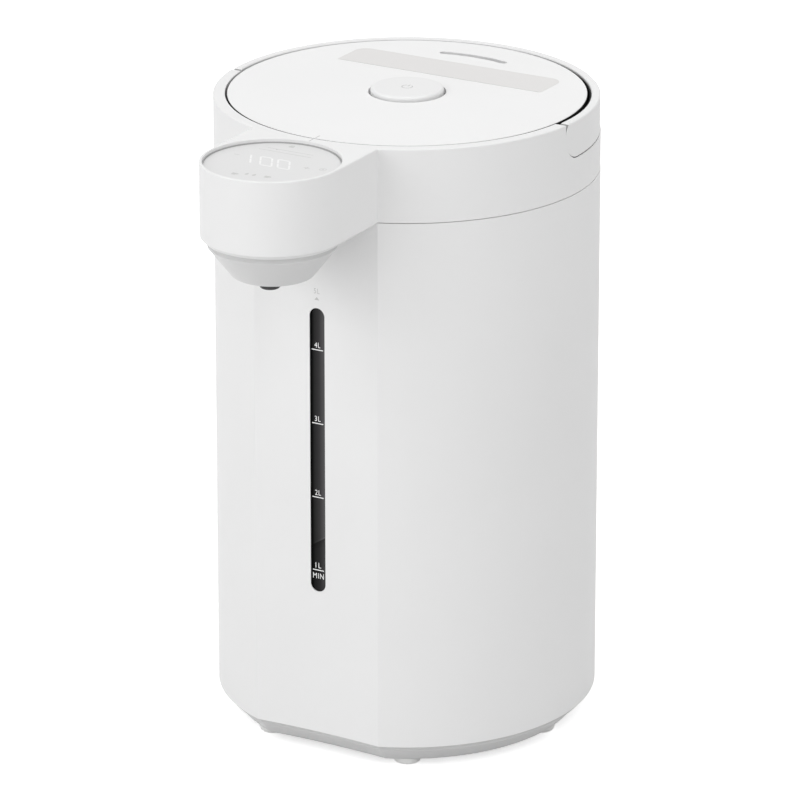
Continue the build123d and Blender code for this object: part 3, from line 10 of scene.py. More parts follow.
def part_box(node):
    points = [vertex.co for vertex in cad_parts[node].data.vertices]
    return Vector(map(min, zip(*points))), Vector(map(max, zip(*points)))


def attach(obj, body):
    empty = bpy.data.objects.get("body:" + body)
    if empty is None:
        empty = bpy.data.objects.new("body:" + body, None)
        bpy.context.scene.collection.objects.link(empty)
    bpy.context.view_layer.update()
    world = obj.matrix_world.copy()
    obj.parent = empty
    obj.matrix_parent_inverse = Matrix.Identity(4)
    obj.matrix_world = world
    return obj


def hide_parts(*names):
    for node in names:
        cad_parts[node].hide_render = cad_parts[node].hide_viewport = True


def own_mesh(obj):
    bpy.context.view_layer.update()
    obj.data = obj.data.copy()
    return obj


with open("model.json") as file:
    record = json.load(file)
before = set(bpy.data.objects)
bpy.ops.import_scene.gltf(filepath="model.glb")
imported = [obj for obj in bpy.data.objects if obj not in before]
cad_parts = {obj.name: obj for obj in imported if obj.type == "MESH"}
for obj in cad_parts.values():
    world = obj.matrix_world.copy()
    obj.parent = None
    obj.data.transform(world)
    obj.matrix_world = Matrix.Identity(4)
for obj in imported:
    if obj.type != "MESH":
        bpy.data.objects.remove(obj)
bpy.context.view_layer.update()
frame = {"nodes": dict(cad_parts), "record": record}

# ---------------------------------------------------------------- places, in metres
AXIS_Y = 0.036175       # the wall's axis
NOSE_Y = -0.102225      # middle of the display disc
LID_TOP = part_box("lid_top")[1].z
FRAME_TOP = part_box("top_frame")[1].z
LENS_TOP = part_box("display_lens")[1].z
BUTTON_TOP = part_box("lid_button")[1].z
INK = 0.00004           # thickness of a printed mark
FILM = 0.00012          # thickness of a stuck-on film
SINK = 0.00001          # what a mark goes into its surface
OUT = Vector((0, -1, 0))
UP = Vector((0, 0, 1))


def put(name, data):
    """A new object in the scene."""
    thing = bpy.data.objects.new(name, data)
    bpy.context.scene.collection.objects.link(thing)
    return thing


# ---------------------------------------------------------------- camera
AZIMUTH, ELEVATION = radians(29.908), radians(20.145)
DISTANCE = 2.9951
LENS_MM, SENSOR_MM = 249.24, 36.0
AIM_Z = 0.17502
AIM_SHIFT = 0.003786    # from the wall's axis to the aim, leftwards in the picture
back = Vector((sin(AZIMUTH) * cos(ELEVATION), -cos(AZIMUTH) * cos(ELEVATION), sin(ELEVATION)))
right = Vector((cos(AZIMUTH), sin(AZIMUTH), 0))
target = Vector((0, AXIS_Y, AIM_Z)) - right * AIM_SHIFT
camera_data = bpy.data.cameras.new("camera")
camera_data.lens = LENS_MM
camera_data.sensor_width = SENSOR_MM
camera_data.clip_start = 0.1
camera = put("camera", camera_data)
camera.location = target + back * DISTANCE
camera.rotation_euler = back.to_track_quat("Z", "Y").to_euler()
bpy.context.scene.camera = camera
bpy.context.scene.view_settings.view_transform = "Standard"


# ---------------------------------------------------------------- materials
class Shader:
    """A Principled material with helpers that add textures to its sockets."""

    def __init__(self, name, **sockets):
        self.material = bpy.data.materials.new(name)
        self.material.use_nodes = True
        self.tree = self.material.node_tree
        self.principled = self.tree.nodes["Principled BSDF"]
        self.coord = self.tree.nodes.new("ShaderNodeTexCoord").outputs["Object"]
        for socket, value in sockets.items():
            self.principled.inputs[socket.replace("_", " ")].default_value = value

    def new(self, kind, **values):
        node = self.tree.nodes.new(kind)
        for name, value in values.items():
            setattr(node, name, value)
        return node

    def link(self, a, b):
        self.tree.links.new(a, b)

    def stretched(self, scale):
        """The object coordinates, scaled by a different amount along each axis."""
        node = self.new("ShaderNodeMapping")
        node.inputs["Scale"].default_value = scale
        self.link(self.coord, node.inputs["Vector"])
        return node.outputs["Vector"]

    def noise(self, scale, detail=2.0, rough=0.5, vector=None):
        node = self.new("ShaderNodeTexNoise")
        node.inputs["Scale"].default_value = scale
        node.inputs["Detail"].default_value = detail
        node.inputs["Roughness"].default_value = rough
        self.link(vector or self.coord, node.inputs["Vector"])
        return node.outputs["Fac"]

    def ramp(self, factor, *stops):
        node = self.new("ShaderNodeValToRGB")
        elements = node.color_ramp.elements
        while len(elements) < len(stops):
            elements.new(0.5)
        for element, (position, colour) in zip(elements, stops):
            element.position = position
            element.color = (*colour, 1.0)
        self.link(factor, node.inputs["Fac"])
        return node.outputs["Color"]

    def span(self, factor, low, high, from_low=0.25, from_high=0.75):
        node = self.new("ShaderNodeMapRange")
        for socket, value in (("From Min", from_low), ("From Max", from_high),
                              ("To Min", low), ("To Max", high)):
            node.inputs[socket].default_value = value
        self.link(factor, node.inputs["Value"])
        return node.outputs["Result"]

    def mottle(self, colour, spread, scale=9.0):
        """A slight uneven tone over the whole surface."""
        low = tuple(c * (1 - spread) for c in colour)
        high = tuple(min(c * (1 + spread), 1.0) for c in colour)
        tone = self.ramp(self.noise(scale, 3.0), (0.3, low), (0.7, high))
        self.link(tone, self.principled.inputs["Base Color"])

    def uneven(self, rough, spread, scale=70.0):
        """A roughness that wanders a little."""
        value = self.span(self.noise(scale, 4.0, 0.6), rough - spread, rough + spread)
        self.link(value, self.principled.inputs["Roughness"])

    def bump(self, height, distance, strength=1.0):
        """A bump on top of those that are there already."""
        node = self.new("ShaderNodeBump")
        node.inputs["Strength"].default_value = strength
        node.inputs["Distance"].default_value = distance
        self.link(height, node.inputs["Height"])
        normal = self.principled.inputs["Normal"]
        if normal.links:
            self.link(normal.links[0].from_socket, node.inputs["Normal"])
        self.link(node.outputs["Normal"], normal)


def grey(level):
    return (level, level, level)


def moulded(name, colour, rough, grain=2600.0, depth=0.000012, spread=0.012, wander=0.04, **more):
    """Moulded plastic or rubber: spark-eroded grain, faint flow marks and uneven gloss."""
    shader = Shader(name, **more)
    shader.mottle(colour, spread)
    shader.uneven(rough, wander)
    shader.bump(shader.noise(16.0, 2.0), 0.0002, 0.25)
    shader.bump(shader.noise(grain, 2.0, 0.7), depth)
    return shader.material


def brushed(name, colour, rough, stretch, depth=0.000006):
    """Drawn or turned metal with fine lines along one direction."""
    shader = Shader(name, Metallic=1.0)
    lines = shader.noise(1.0, 3.0, 0.6, shader.stretched(stretch))
    low = tuple(c * 0.90 for c in colour)
    tone = shader.ramp(lines, (0.3, low), (0.7, colour))
    shader.link(tone, shader.principled.inputs["Base Color"])
    gloss = shader.span(lines, rough - 0.07, rough + 0.07)
    shader.link(gloss, shader.principled.inputs["Roughness"])
    shader.bump(lines, depth)
    return shader.material


def felt():
    """Pressed fibres with a soft sheen."""
    shader = Shader("felt", Specular_IOR_Level=0.15, Sheen_Weight=0.5, Sheen_Roughness=0.6,
                    Roughness=0.95)
    fibres = shader.noise(900.0, 6.0, 0.75)
    tone = shader.ramp(fibres, (0.3, (0.50, 0.50, 0.49)), (0.7, (0.74, 0.74, 0.72)))
    shader.link(tone, shader.principled.inputs["Base Color"])
    shader.bump(shader.noise(60.0, 3.0), 0.0006, 0.5)
    shader.bump(fibres, 0.0003)
    return shader.material


def board():
    """Green laminate with paler solder resist over its tracks."""
    shader = Shader("circuit_board", Coat_Weight=0.3, Coat_Roughness=0.2)
    cells = shader.new("ShaderNodeTexVoronoi", feature="DISTANCE_TO_EDGE")
    cells.inputs["Scale"].default_value = 260.0
    shader.link(shader.coord, cells.inputs["Vector"])
    tracks = shader.ramp(cells.outputs["Distance"],
                         (0.03, (0.06, 0.26, 0.13)), (0.06, (0.02, 0.14, 0.07)))
    shader.link(tracks, shader.principled.inputs["Base Color"])
    shader.uneven(0.4, 0.06)
    shader.bump(cells.outputs["Distance"], 0.00005, 0.4)
    return shader.material


WINDOW_HALF_W = 0.0047
GLINT_SLOPE = -0.64
GLINT_LOW, GLINT_HIGH = 0.1206, 0.1306      # heights of the painted glint at the middle of the window


def window_smoke():
    """Smoked window with painted light: painted shade at its left edge, painted reflection that
    lightens it towards the right, a painted glint that slants across it, and a darker end under the
    glint.
    """
    shader = Shader("window_smoke", Specular_IOR_Level=0.02)
    split = shader.new("ShaderNodeSeparateXYZ")
    shader.link(shader.coord, split.inputs["Vector"])
    across = shader.span(split.outputs["X"], 0.0, 1.0, -WINDOW_HALF_W, WINDOW_HALF_W)
    # The smoke's own dark colour, with painted shade at the left edge and painted reflection
    # growing towards the right edge.
    smoke_and_painted_shade = shader.ramp(across, (0.14, grey(0.001)), (0.28, grey(0.022)),
                       (0.60, (0.047, 0.045, 0.047)), (1.0, (0.125, 0.122, 0.125)))
    # Painted glint: a bright band that slants across the window, with a darker end under it.
    slant = shader.new("ShaderNodeMath", operation="MULTIPLY_ADD")
    slant.inputs[1].default_value = GLINT_SLOPE
    shader.link(split.outputs["X"], slant.inputs[0])
    shader.link(split.outputs["Z"], slant.inputs[2])
    height = shader.span(slant.outputs[0], 0.0, 1.0, GLINT_LOW, GLINT_HIGH)
    level = shader.ramp(height, (0.0, grey(0.50)), (0.42, grey(0.36)), (0.48, grey(1.0)),
                        (0.53, grey(1.0)), (0.57, grey(0.80)), (1.0, grey(0.85)))
    mix = shader.new("ShaderNodeMix", data_type="RGBA", blend_type="MULTIPLY")
    mix.inputs["Factor"].default_value = 1.0
    shader.link(smoke_and_painted_shade, mix.inputs[6])        # colour A
    shader.link(level, mix.inputs[7])       # colour B
    mixed = mix.outputs[2]                  # the colour result
    shader.link(mixed, shader.principled.inputs["Base Color"])
    shader.uneven(0.16, 0.03)
    return shader.material


def printed(name, colour, rough=0.45):
    """Screen-printed ink: solid colour with slightly uneven cover."""
    shader = Shader(name)
    shader.mottle(colour, 0.03, 700.0)
    shader.uneven(rough, 0.05, 900.0)
    shader.bump(shader.noise(4000.0, 2.0), 0.000004)
    return shader.material


WHITE = grey(0.80)
MATT = {"Specular_IOR_Level": 0.2}
MATERIALS = {
    "shell_white": moulded("shell_white", WHITE, 0.54, **MATT),
    "frame_white": moulded("frame_white", WHITE, 0.52, **MATT),
    "handle_white": moulded("handle_white", WHITE, 0.52, **MATT),
    "lid_white": moulded("lid_white", grey(0.83), 0.54, **MATT),
    "button_white": moulded("button_white", grey(0.765), 0.46),
    "base_grey": moulded("base_grey", grey(0.57), 0.55),
    "cover_grey": moulded("cover_grey", grey(0.72), 0.50),
    "cowl_grey": moulded("cowl_grey", grey(0.60), 0.48),
    "foot_pale": moulded("foot_pale", (0.86, 0.86, 0.85), 0.62, grain=900.0, depth=0.00003),
    "spout_black": moulded("spout_black", grey(0.012), 0.35),
    "display_grey": moulded("display_grey", grey(0.685), 0.30, depth=0.000004, spread=0.006),
    "window_smoke": window_smoke(),
    "black_plastic": moulded("black_plastic", grey(0.015), 0.45),
    "clear_tube": moulded("clear_tube", (0.96, 0.98, 0.98), 0.06, depth=0.0, wander=0.02,
                          Transmission_Weight=1.0, IOR=1.49),
    "circuit_board": board(),
    "steel": brushed("steel", (0.62, 0.62, 0.63), 0.28, (30.0, 30.0, 2600.0)),
    "screw_steel": brushed("screw_steel", (0.55, 0.55, 0.56), 0.32, (900.0, 900.0, 900.0)),
    "bush_nylon": moulded("bush_nylon", (0.80, 0.80, 0.76), 0.42, Subsurface_Weight=0.1),
    "silicone": moulded("silicone", (0.78, 0.78, 0.77), 0.40, grain=1200.0, Subsurface_Weight=0.2,
                        Subsurface_Scale=0.002),
    "felt": felt(),
    "heater_alloy": brushed("heater_alloy", (0.70, 0.70, 0.71), 0.45,
                            (420.0, 420.0, 420.0), 0.00004),
    "cutout_ceramic": moulded("cutout_ceramic", (0.80, 0.78, 0.71), 0.35,
                              grain=1500.0, depth=0.00002),
    "inner_plastic": moulded("inner_plastic", (0.74, 0.74, 0.73), 0.50),
    "motor_can": brushed("motor_can", (0.42, 0.42, 0.43), 0.38, (40.0, 40.0, 2200.0)),
    "contact_brass": brushed("contact_brass", (0.78, 0.60, 0.30), 0.25, (900.0, 60.0, 900.0)),
    "latch_nylon": moulded("latch_nylon", (0.74, 0.74, 0.72), 0.42),
    "trim_black": moulded("trim_black", grey(0.006), 0.70, Specular_IOR_Level=0.15),
}
for part in frame["record"]["subparts"]:
    for slot in frame["nodes"][part["node"]].material_slots:
        slot.material = MATERIALS[part["material_slot"]]
# The display ring's mid grey is painted shade: it stands for the shaded wall of the well round the
# disc.
ring_slot = frame["nodes"]["lens_ring"].material_slots[0]
ring_slot.material = moulded("ring_painted_shade", grey(0.40), 0.60, **MATT)

INK_WHITE = printed("ink_white", grey(0.86))
INK_GREY = printed("ink_grey", grey(0.50))
INK_FAINT = printed("ink_faint", (0.54, 0.54, 0.535))
DIGIT_WHITE = printed("digit_white", grey(0.84))
# Mid grey for the painted shade on the bow's round ends.
BOW_END_SHADE_GREY = moulded("bow_end_shade_grey", grey(0.30), 0.60, **MATT)
FILM_GREY = moulded("film_grey", (0.685, 0.675, 0.668), 0.40, depth=0.000003, spread=0.008)


# ---------------------------------------------------------------- flat shapes, as (points, faces)
def joined(*shapes):
    points, faces = [], []
    for more_points, more_faces in shapes:
        offset = len(points)
        points += more_points
        faces += [tuple(i + offset for i in face) for face in more_faces]
    return points, faces


def moved(shape, dx, dy, turn=0.0):
    points, faces = shape
    c, s = cos(turn), sin(turn)
    return [(c * x - s * y + dx, s * x + c * y + dy) for x, y in points], faces


def polygon(*points):
    return list(points), [tuple(range(len(points)))]


def strip(width, height, cells=1):
    """A rectangle about its middle, in cells along its width so that it can follow a curve."""
    points = [(width * (i / cells - 0.5), side * height / 2) for i in range(cells + 1)
              for side in (-1, 1)]
    return points, [(2 * i, 2 * i + 2, 2 * i + 3, 2 * i + 1) for i in range(cells)]


def rounded(width, height, radii, steps=6):
    """A rectangle with round corners, from the upper right one leftwards."""
    points = []
    corners = zip(radii, ((1, 1), (-1, 1), (-1, -1), (1, -1)))
    for quarter, (radius, (sx, sy)) in enumerate(corners):
        for i in range(steps + 1):
            angle = (quarter + i / steps) * pi / 2
            points.append((sx * (width / 2 - radius) + radius * cos(angle),
                           sy * (height / 2 - radius) + radius * sin(angle)))
    return polygon(*points)


def hoop(r_out, r_in, start=0.0, end=360.0, steps=48):
    """A ring or part of one, in quads."""
    points, faces = [], []
    for i in range(steps + 1):
        angle = radians(start + (end - start) * i / steps)
        points += [(r * cos(angle), r * sin(angle)) for r in (r_in, r_out)]
        if i:
            faces.append((2 * i - 2, 2 * i - 1, 2 * i + 1, 2 * i))
    return points, faces


def disc(radius, steps=20):
    return polygon(*[(radius * cos(2 * pi * i / steps), radius * sin(2 * pi * i / steps))
                     for i in range(steps)])


def lettering(text, width, height):
    """Text about its middle, with its baseline at zero, in capitals of a given size."""
    curve = bpy.data.curves.new("lettering", "FONT")
    curve.body = text
    curve.size = 1.0
    curve.space_character = 1.15
    curve.resolution_u = 6
    holder = put("lettering", curve)
    bpy.context.view_layer.update()
    evaluated = holder.evaluated_get(bpy.context.evaluated_depsgraph_get())
    mesh = bpy.data.meshes.new_from_object(evaluated)
    points = [(v.co.x, v.co.y) for v in mesh.vertices]
    faces = [tuple(p.vertices) for p in mesh.polygons]
    bpy.data.objects.remove(holder)
    bpy.data.curves.remove(curve)
    bpy.data.meshes.remove(mesh)
    low, high = min(p[1] for p in points), max(p[1] for p in points)
    left, far = min(p[0] for p in points), max(p[0] for p in points)
    kx, ky = width / (far - left), height / (high - low)
    return [((x - (left + far) / 2) * kx, (y - low) * ky) for x, y in points], faces


SEGMENTS = {  # (middle x, middle y, upright) in units of half the digit's width and height
    "a": (0, 1, False), "b": (1, 0.5, True), "c": (1, -0.5, True), "d": (0, -1, False),
    "e": (-1, -0.5, True), "f": (-1, 0.5, True),
}
DIGITS = {"0": "abcdef", "1": "bc"}
SEGMENT_GAP = 0.0003


def digit(figure, width, height, stroke, slant):
    """One seven-segment figure about its middle."""
    shapes = []
    half_w, half_h = (width - stroke) / 2, (height - stroke) / 2
    for name in DIGITS[figure]:
        x, y, upright = SEGMENTS[name]
        length = (half_h if upright else width - stroke) - SEGMENT_GAP
        tip = stroke / 2
        bar = polygon((-length / 2, 0), (-length / 2 + tip, -tip), (length / 2 - tip, -tip),
                      (length / 2, 0), (length / 2 - tip, tip), (-length / 2 + tip, tip))
        shapes.append(moved(bar, x * half_w, y * half_h, pi / 2 if upright else 0.0))
    points, faces = joined(*shapes)
    return [(x + slant * y, y) for x, y in points], faces


# ---------------------------------------------------------------- putting shapes on surfaces
def closed_mesh(bm, name, material):
    """The mesh of a closed solid, with its faces turned outwards."""
    bmesh.ops.recalc_face_normals(bm, faces=bm.faces)
    mesh = bpy.data.meshes.new(name)
    bm.to_mesh(mesh)
    bm.free()
    mesh.materials.append(material)
    return mesh


def surface_of(node):
    """A ray-cast tree of a CAD node at rest."""
    mesh = frame["nodes"][node].data
    return BVHTree.FromPolygons([v.co for v in mesh.vertices],
                                [tuple(p.vertices) for p in mesh.polygons])


def add_piece(name, shape, place, way, thickness, material, body):
    """A thin solid: each point of the shape is placed by place(u, v) and thickened along way."""
    points, faces = shape
    base = [place(u, v) - way * SINK for u, v in points]
    bm = bmesh.new()
    low = [bm.verts.new(p) for p in base]
    high = [bm.verts.new(p + way * thickness) for p in base]
    edges = {}
    for face in faces:
        bm.faces.new([high[i] for i in face])
        bm.faces.new([low[i] for i in reversed(face)])
        edges.update(dict.fromkeys(zip(face, face[1:] + face[:1])))
    for a, b in edges:
        if (b, a) not in edges:
            bm.faces.new([low[a], low[b], high[b], high[a]])
    piece = put(name, closed_mesh(bm, name, material))
    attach(piece, body)


def on_front(node):
    """Places (x, z) on the front of a node, seen along +Y."""
    tree = surface_of(node)

    def place(x, z):
        hit = tree.ray_cast(Vector((x, -0.3, z)), -OUT)[0]
        assert hit, (node, x, z)
        return hit
    return place


def on_level(z, centre_y):
    """Places (x, y) on a level surface, about a centre on the symmetry plane."""
    return lambda x, y: Vector((x, y + centre_y, z))


# ---------------------------------------------------------------- level marks
TICKS = {"1L": 0.10885, "2L": 0.15026, "3L": 0.19186, "4L": 0.23293}    # heights
TICK_W, TICK_H = 0.0068, 0.0005
LABEL_W, LABEL_H, LABEL_RISE = 0.0035, 0.0029, 0.0012
MIN_W, MIN_H, MIN_DROP = 0.0066, 0.0030, 0.0048
TOP_LABEL_Z = 0.2641
ARROW_HALF_W, ARROW_LOW, ARROW_TIP = 0.0015, 0.2606, 0.2623

marks = []
for text, z in TICKS.items():
    marks.append(moved(strip(TICK_W, TICK_H, 4), 0, z))
    marks.append(moved(lettering(text, LABEL_W, LABEL_H), 0, z + LABEL_RISE))
marks.append(moved(lettering("MIN", MIN_W, MIN_H), 0, TICKS["1L"] - MIN_DROP))
add_piece("level_marks", joined(*marks), on_front("gauge_window"), OUT, INK, INK_WHITE, "pot")

top_mark = [moved(lettering("5L", LABEL_W, LABEL_H), 0, TOP_LABEL_Z),
            polygon((-ARROW_HALF_W, ARROW_LOW), (ARROW_HALF_W, ARROW_LOW), (0.0, ARROW_TIP))]
add_piece("top_level_mark", joined(*top_mark), on_front("outer_shell"), OUT, INK, INK_FAINT, "pot")

# ---------------------------------------------------------------- painted shade strips in the carrying bow's gaps
PIVOT = (AXIS_Y, 0.34113)       # (y, z) of the bow's pivots
BOW_IN, BOW_OUT = 0.09775, 0.1024
BOW_END_R = 0.0116              # round end of the bow
POCKET_R = 0.0121               # round end of its pocket
SHADE_STRIP_THICKNESS = 0.0001                 # thickness of a painted shade strip
BOW_END_SHADE_INSET, POCKET_INSET = 0.0002, 0.0001     # from the bow's edge to a painted shade strip's
BOW_END_SHADE_ARC, POCKET_ARC = (196, 139), (180, 268)     # degrees about a pivot
POCKET_CELLS = 60               # along the level bottom of the pocket


def shade_strip(name, stations, inset, material, body):
    """A thin strip of painted shade across the bow's width; a station is two corners and the way
    that it faces.
    """
    bm = bmesh.new()
    rows = []
    for inner, outer, way in stations:
        across = (outer - inner).normalized() * inset
        low = [inner + across - way * SINK, outer - across - way * SINK]
        rows.append([bm.verts.new(p) for p in (*low, low[1] + way * SHADE_STRIP_THICKNESS, low[0] + way * SHADE_STRIP_THICKNESS)])
    for a, b in zip(rows, rows[1:]):
        for i in range(4):
            bm.faces.new([a[i], a[(i + 1) % 4], b[(i + 1) % 4], b[i]])
    bm.faces.new(rows[0])
    bm.faces.new(rows[-1][::-1])
    piece = put(name, closed_mesh(bm, name, material))
    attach(piece, body)


def round_end(side, radius, start, end, facing, steps=14):
    """Stations along a circle about a pivot, from one angle in degrees to another."""
    stations = []
    for i in range(steps + 1):
        angle = radians(start + (end - start) * i / steps)
        y, z = radius * cos(angle), PIVOT[1] + radius * sin(angle)
        ends = [Vector((side * (r * r - y * y) ** 0.5, PIVOT[0] + y, z)) for r in (BOW_IN, BOW_OUT)]
        stations.append((*ends, facing * Vector((0, cos(angle), sin(angle)))))
    return stations


# Mid-grey strips on the bow's round ends: painted shade in the notch between each end and the
# collar.
for side, name in ((1, "right"), (-1, "left")):
    shade_strip("bow_end_shade_" + name, round_end(side, BOW_END_R, *BOW_END_SHADE_ARC, 1), BOW_END_SHADE_INSET,
           BOW_END_SHADE_GREY, "handle")

# A black strip along the pocket's round ends and floor: painted shade in the gap between the lid
# and the bow.
pocket = round_end(1, POCKET_R, *POCKET_ARC, -1)
for i in range(1, POCKET_CELLS):
    around = pi * i / POCKET_CELLS
    flat = [Vector((r * cos(around), AXIS_Y + r * sin(around), PIVOT[1] - POCKET_R))
            for r in (BOW_IN, BOW_OUT)]
    pocket.append((*flat, UP))
pocket += round_end(-1, POCKET_R, *POCKET_ARC[::-1], -1)
shade_strip("pocket_shade_strip", pocket, POCKET_INSET, MATERIALS["trim_black"], "pot")

# ---------------------------------------------------------------- display
FIGURE_FORM = (0.0079, 0.0132, 0.0011, -0.55)   # width, height, stroke and slant
FIGURE_Y = 0.0018
LINE_W = 0.0004
KEYS = (  # pictogram, and its place from the disc's middle
    ("minus", -0.0238, 0.0045), ("plus", 0.0190, 0.0026), ("ring", 0.0275, 0.0045),
    ("dot", 0.0275, 0.0045), ("cup", -0.0082, -0.0236), ("drop", -0.0024, -0.0205),
    ("drop", 0.0018, -0.0203), ("cup", 0.0090, -0.0200), ("lock", -0.0060, 0.0293))

disc_place = on_level(LENS_TOP, NOSE_Y)
figures = [moved(digit(figure, *FIGURE_FORM), x, FIGURE_Y)
           for figure, x in (("1", -0.0172), ("0", -0.0046), ("0", 0.0058))]
add_piece("display_figures", joined(*figures), disc_place, UP, INK, DIGIT_WHITE, "pot")

lines = [moved(strip(0.031, LINE_W), -0.0035, 0.0185), moved(strip(0.027, LINE_W), -0.0025, 0.0225)]
add_piece("display_lines", joined(*lines), disc_place, UP, INK, INK_FAINT, "pot")


def key_icons():
    """Plain pictograms for the touch keys, each about its middle."""
    drop = polygon(*[(0.0013 * sin(t) * sin(t / 2) ** 1.4, 0.0018 * cos(t))
                     for t in [2 * pi * i / 24 for i in range(24)]])
    minus = strip(0.0034, 0.0005)
    plus = joined(minus, strip(0.0005, 0.0034))
    lock = joined(strip(0.0030, 0.0022), moved(hoop(0.0012, 0.0008, 0, 180, 16), 0, 0.0011))
    bowl = polygon((-0.0016, 0.0014), (-0.0011, -0.0014), (0.0011, -0.0014), (0.0016, 0.0014))
    cup = joined(bowl, moved(hoop(0.0009, 0.0005, -100, 100, 12), 0.0015, 0.0002))
    return {"drop": drop, "plus": plus, "minus": minus, "lock": lock, "cup": cup,
            "ring": hoop(0.0019, 0.0015), "dot": disc(0.0006)}


icons = key_icons()
keys = [moved(icons[name], x, y) for name, x, y in KEYS]
add_piece("display_icons", joined(*keys), disc_place, UP, INK, INK_FAINT, "pot")

# ---------------------------------------------------------------- lid and collar
FILM_SIZE, FILM_CORNERS, FILM_Y = (0.1250, 0.0262), (0.007, 0.007, 0.001, 0.001), 0.0459
FILM_LINE, FILM_LINE_Y = (0.1225, 0.00030), 0.0332
ALIGN_SIZE = (0.0006, 0.0042)       # the strokes that show how the lid goes on
LID_MARK_Y, COLLAR_MARK_Y = -0.0927, -0.0994

lid_place = on_level(LID_TOP, AXIS_Y)
film = moved(rounded(*FILM_SIZE, FILM_CORNERS), 0, FILM_Y)
add_piece("lid_film", film, lid_place, UP, FILM, FILM_GREY, "lid")
film_line = moved(strip(*FILM_LINE), 0, FILM_LINE_Y)
add_piece("lid_film_line", film_line, on_level(LID_TOP + FILM, AXIS_Y), UP, INK, INK_GREY, "lid")

align = strip(*ALIGN_SIZE)
add_piece("lid_mark", moved(align, 0, LID_MARK_Y), lid_place, UP, INK, INK_GREY, "lid")
add_piece("collar_mark", moved(align, 0, COLLAR_MARK_Y), on_level(FRAME_TOP, AXIS_Y), UP,
          INK, INK_GREY, "pot")

symbol = joined(hoop(0.0031, 0.0025, 120, 420, 40), moved(strip(0.0006, 0.0030), 0, 0.0022))
add_piece("button_symbol", symbol, on_level(BUTTON_TOP, AXIS_Y), UP, INK, INK_GREY, "button")

# ---------------------------------------------------------------- the button's return spring
SPRING_LOW, SPRING_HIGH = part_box("button_spring")
SPRING_R, WIRE_R, TURNS = 0.0070, 0.0005, 4


def coil(steps=144, sides=10):
    """Round wire wound about the axis, as high as the spring's box."""
    bm = bmesh.new()
    rings = []
    for i in range(steps + 1):
        angle = 2 * pi * TURNS * i / steps
        outward = Vector((cos(angle), sin(angle), 0))
        height = SPRING_LOW.z + WIRE_R + (SPRING_HIGH.z - SPRING_LOW.z - 2 * WIRE_R) * i / steps
        centre = Vector((0, AXIS_Y, height)) + outward * SPRING_R
        rings.append([bm.verts.new(centre + outward * WIRE_R * cos(2 * pi * k / sides)
                                   + UP * WIRE_R * sin(2 * pi * k / sides)) for k in range(sides)])
    for a, b in zip(rings, rings[1:]):
        for k in range(sides):
            bm.faces.new([a[k], a[(k + 1) % sides], b[(k + 1) % sides], b[k]])
    bm.faces.new(rings[0])
    bm.faces.new(rings[-1][::-1])
    mesh = closed_mesh(bm, "return_spring", MATERIALS["screw_steel"])
    mesh.shade_smooth()
    return mesh


spring = put("return_spring", coil())
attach(spring, "lid")
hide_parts("button_spring")
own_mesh(spring)

# ---------------------------------------------------------------- floor, world and lamps
FLOOR_R, FLOOR_SIDES = 9, 64
FLOOR_WHITE = 0.86
FLOOR_GLOW = 0.60                       # lifts the floor to white where it is seen
WORLD_LIGHT, WORLD_SEEN = 0.277, 1.0    # what lights the object, and what is seen
LAMP_DISTANCE, LAMP_SIZE = 2.6, 1.8
LAMP_AIM = Vector((0, 0, 0.18))
LAMPS = (  # name, way from the aim, watts
    ("left", (-0.560, -0.520, 0.643), 21.0), ("right", (0.680, -0.340, 0.650), 26.5),
    ("front", (-0.330, -0.908, 0.259), 17.0), ("top", (0.0, 0.25, 1.0), 20.5),
    ("rear", (0.0, 0.80, 0.60), 5.0))

floor_mesh = bpy.data.meshes.new("floor")
floor_points, floor_faces = disc(FLOOR_R, FLOOR_SIDES)
floor_mesh.from_pydata([(x, y, 0) for x, y in floor_points], [], floor_faces)
floor = put("floor", floor_mesh)


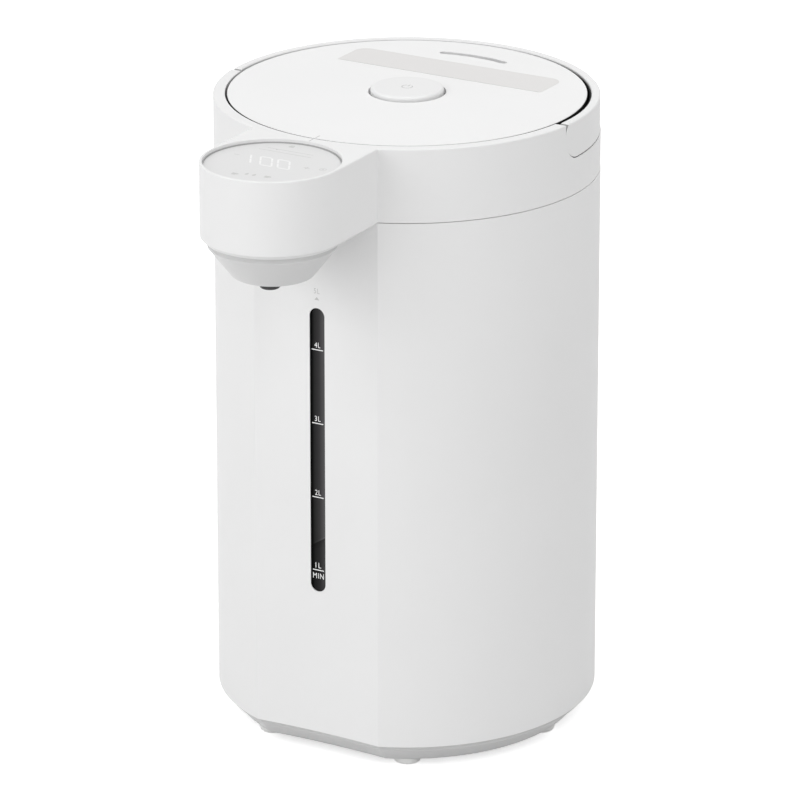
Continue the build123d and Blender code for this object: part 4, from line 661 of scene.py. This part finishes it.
def seen_directly(tree):
    """1 for camera, glossy and transmission rays, 0 for the rays that light the object."""
    path = tree.nodes.new("ShaderNodeLightPath")
    total = path.outputs["Is Camera Ray"]
    for ray in ("Is Glossy Ray", "Is Transmission Ray"):
        add = tree.nodes.new("ShaderNodeMath")
        add.operation = "MAXIMUM"
        tree.links.new(total, add.inputs[0])
        tree.links.new(path.outputs[ray], add.inputs[1])
        total = add.outputs[0]
    return total


def floor_material():
    """Matt white, lifted to a white background where it is seen, with the shadow kept."""
    material = bpy.data.materials.new("floor")
    material.use_nodes = True
    tree = material.node_tree
    tree.nodes.remove(tree.nodes["Principled BSDF"])
    matt = tree.nodes.new("ShaderNodeBsdfDiffuse")
    matt.inputs["Color"].default_value = (*grey(FLOOR_WHITE), 1)
    glow = tree.nodes.new("ShaderNodeEmission")
    scale = tree.nodes.new("ShaderNodeMath")
    scale.operation = "MULTIPLY"
    scale.inputs[1].default_value = FLOOR_GLOW
    tree.links.new(seen_directly(tree), scale.inputs[0])
    tree.links.new(scale.outputs[0], glow.inputs["Strength"])
    both = tree.nodes.new("ShaderNodeAddShader")
    tree.links.new(matt.outputs[0], both.inputs[0])
    tree.links.new(glow.outputs[0], both.inputs[1])
    tree.links.new(both.outputs[0], tree.nodes["Material Output"].inputs["Surface"])
    return material


floor_mesh.materials.append(floor_material())

world = bpy.data.worlds.new("world")
world.use_nodes = True
bpy.context.scene.world = world
sky = world.node_tree.nodes["Background"]
sky.inputs["Color"].default_value = (1, 1, 1, 1)
level = world.node_tree.nodes.new("ShaderNodeMapRange")
level.inputs["To Min"].default_value = WORLD_LIGHT
level.inputs["To Max"].default_value = WORLD_SEEN
world.node_tree.links.new(seen_directly(world.node_tree), level.inputs["Value"])
world.node_tree.links.new(level.outputs["Result"], sky.inputs["Strength"])


def lamp(name, direction, power):
    """A square area lamp that faces the object's middle."""
    data = bpy.data.lights.new(name, "AREA")
    data.shape = "SQUARE"
    data.size = LAMP_SIZE
    data.energy = power
    way = Vector(direction).normalized()
    holder = put(name, data)
    holder.location = LAMP_AIM + way * LAMP_DISTANCE
    holder.rotation_euler = way.to_track_quat("Z", "Y").to_euler()


for row in LAMPS:
    lamp(*row)
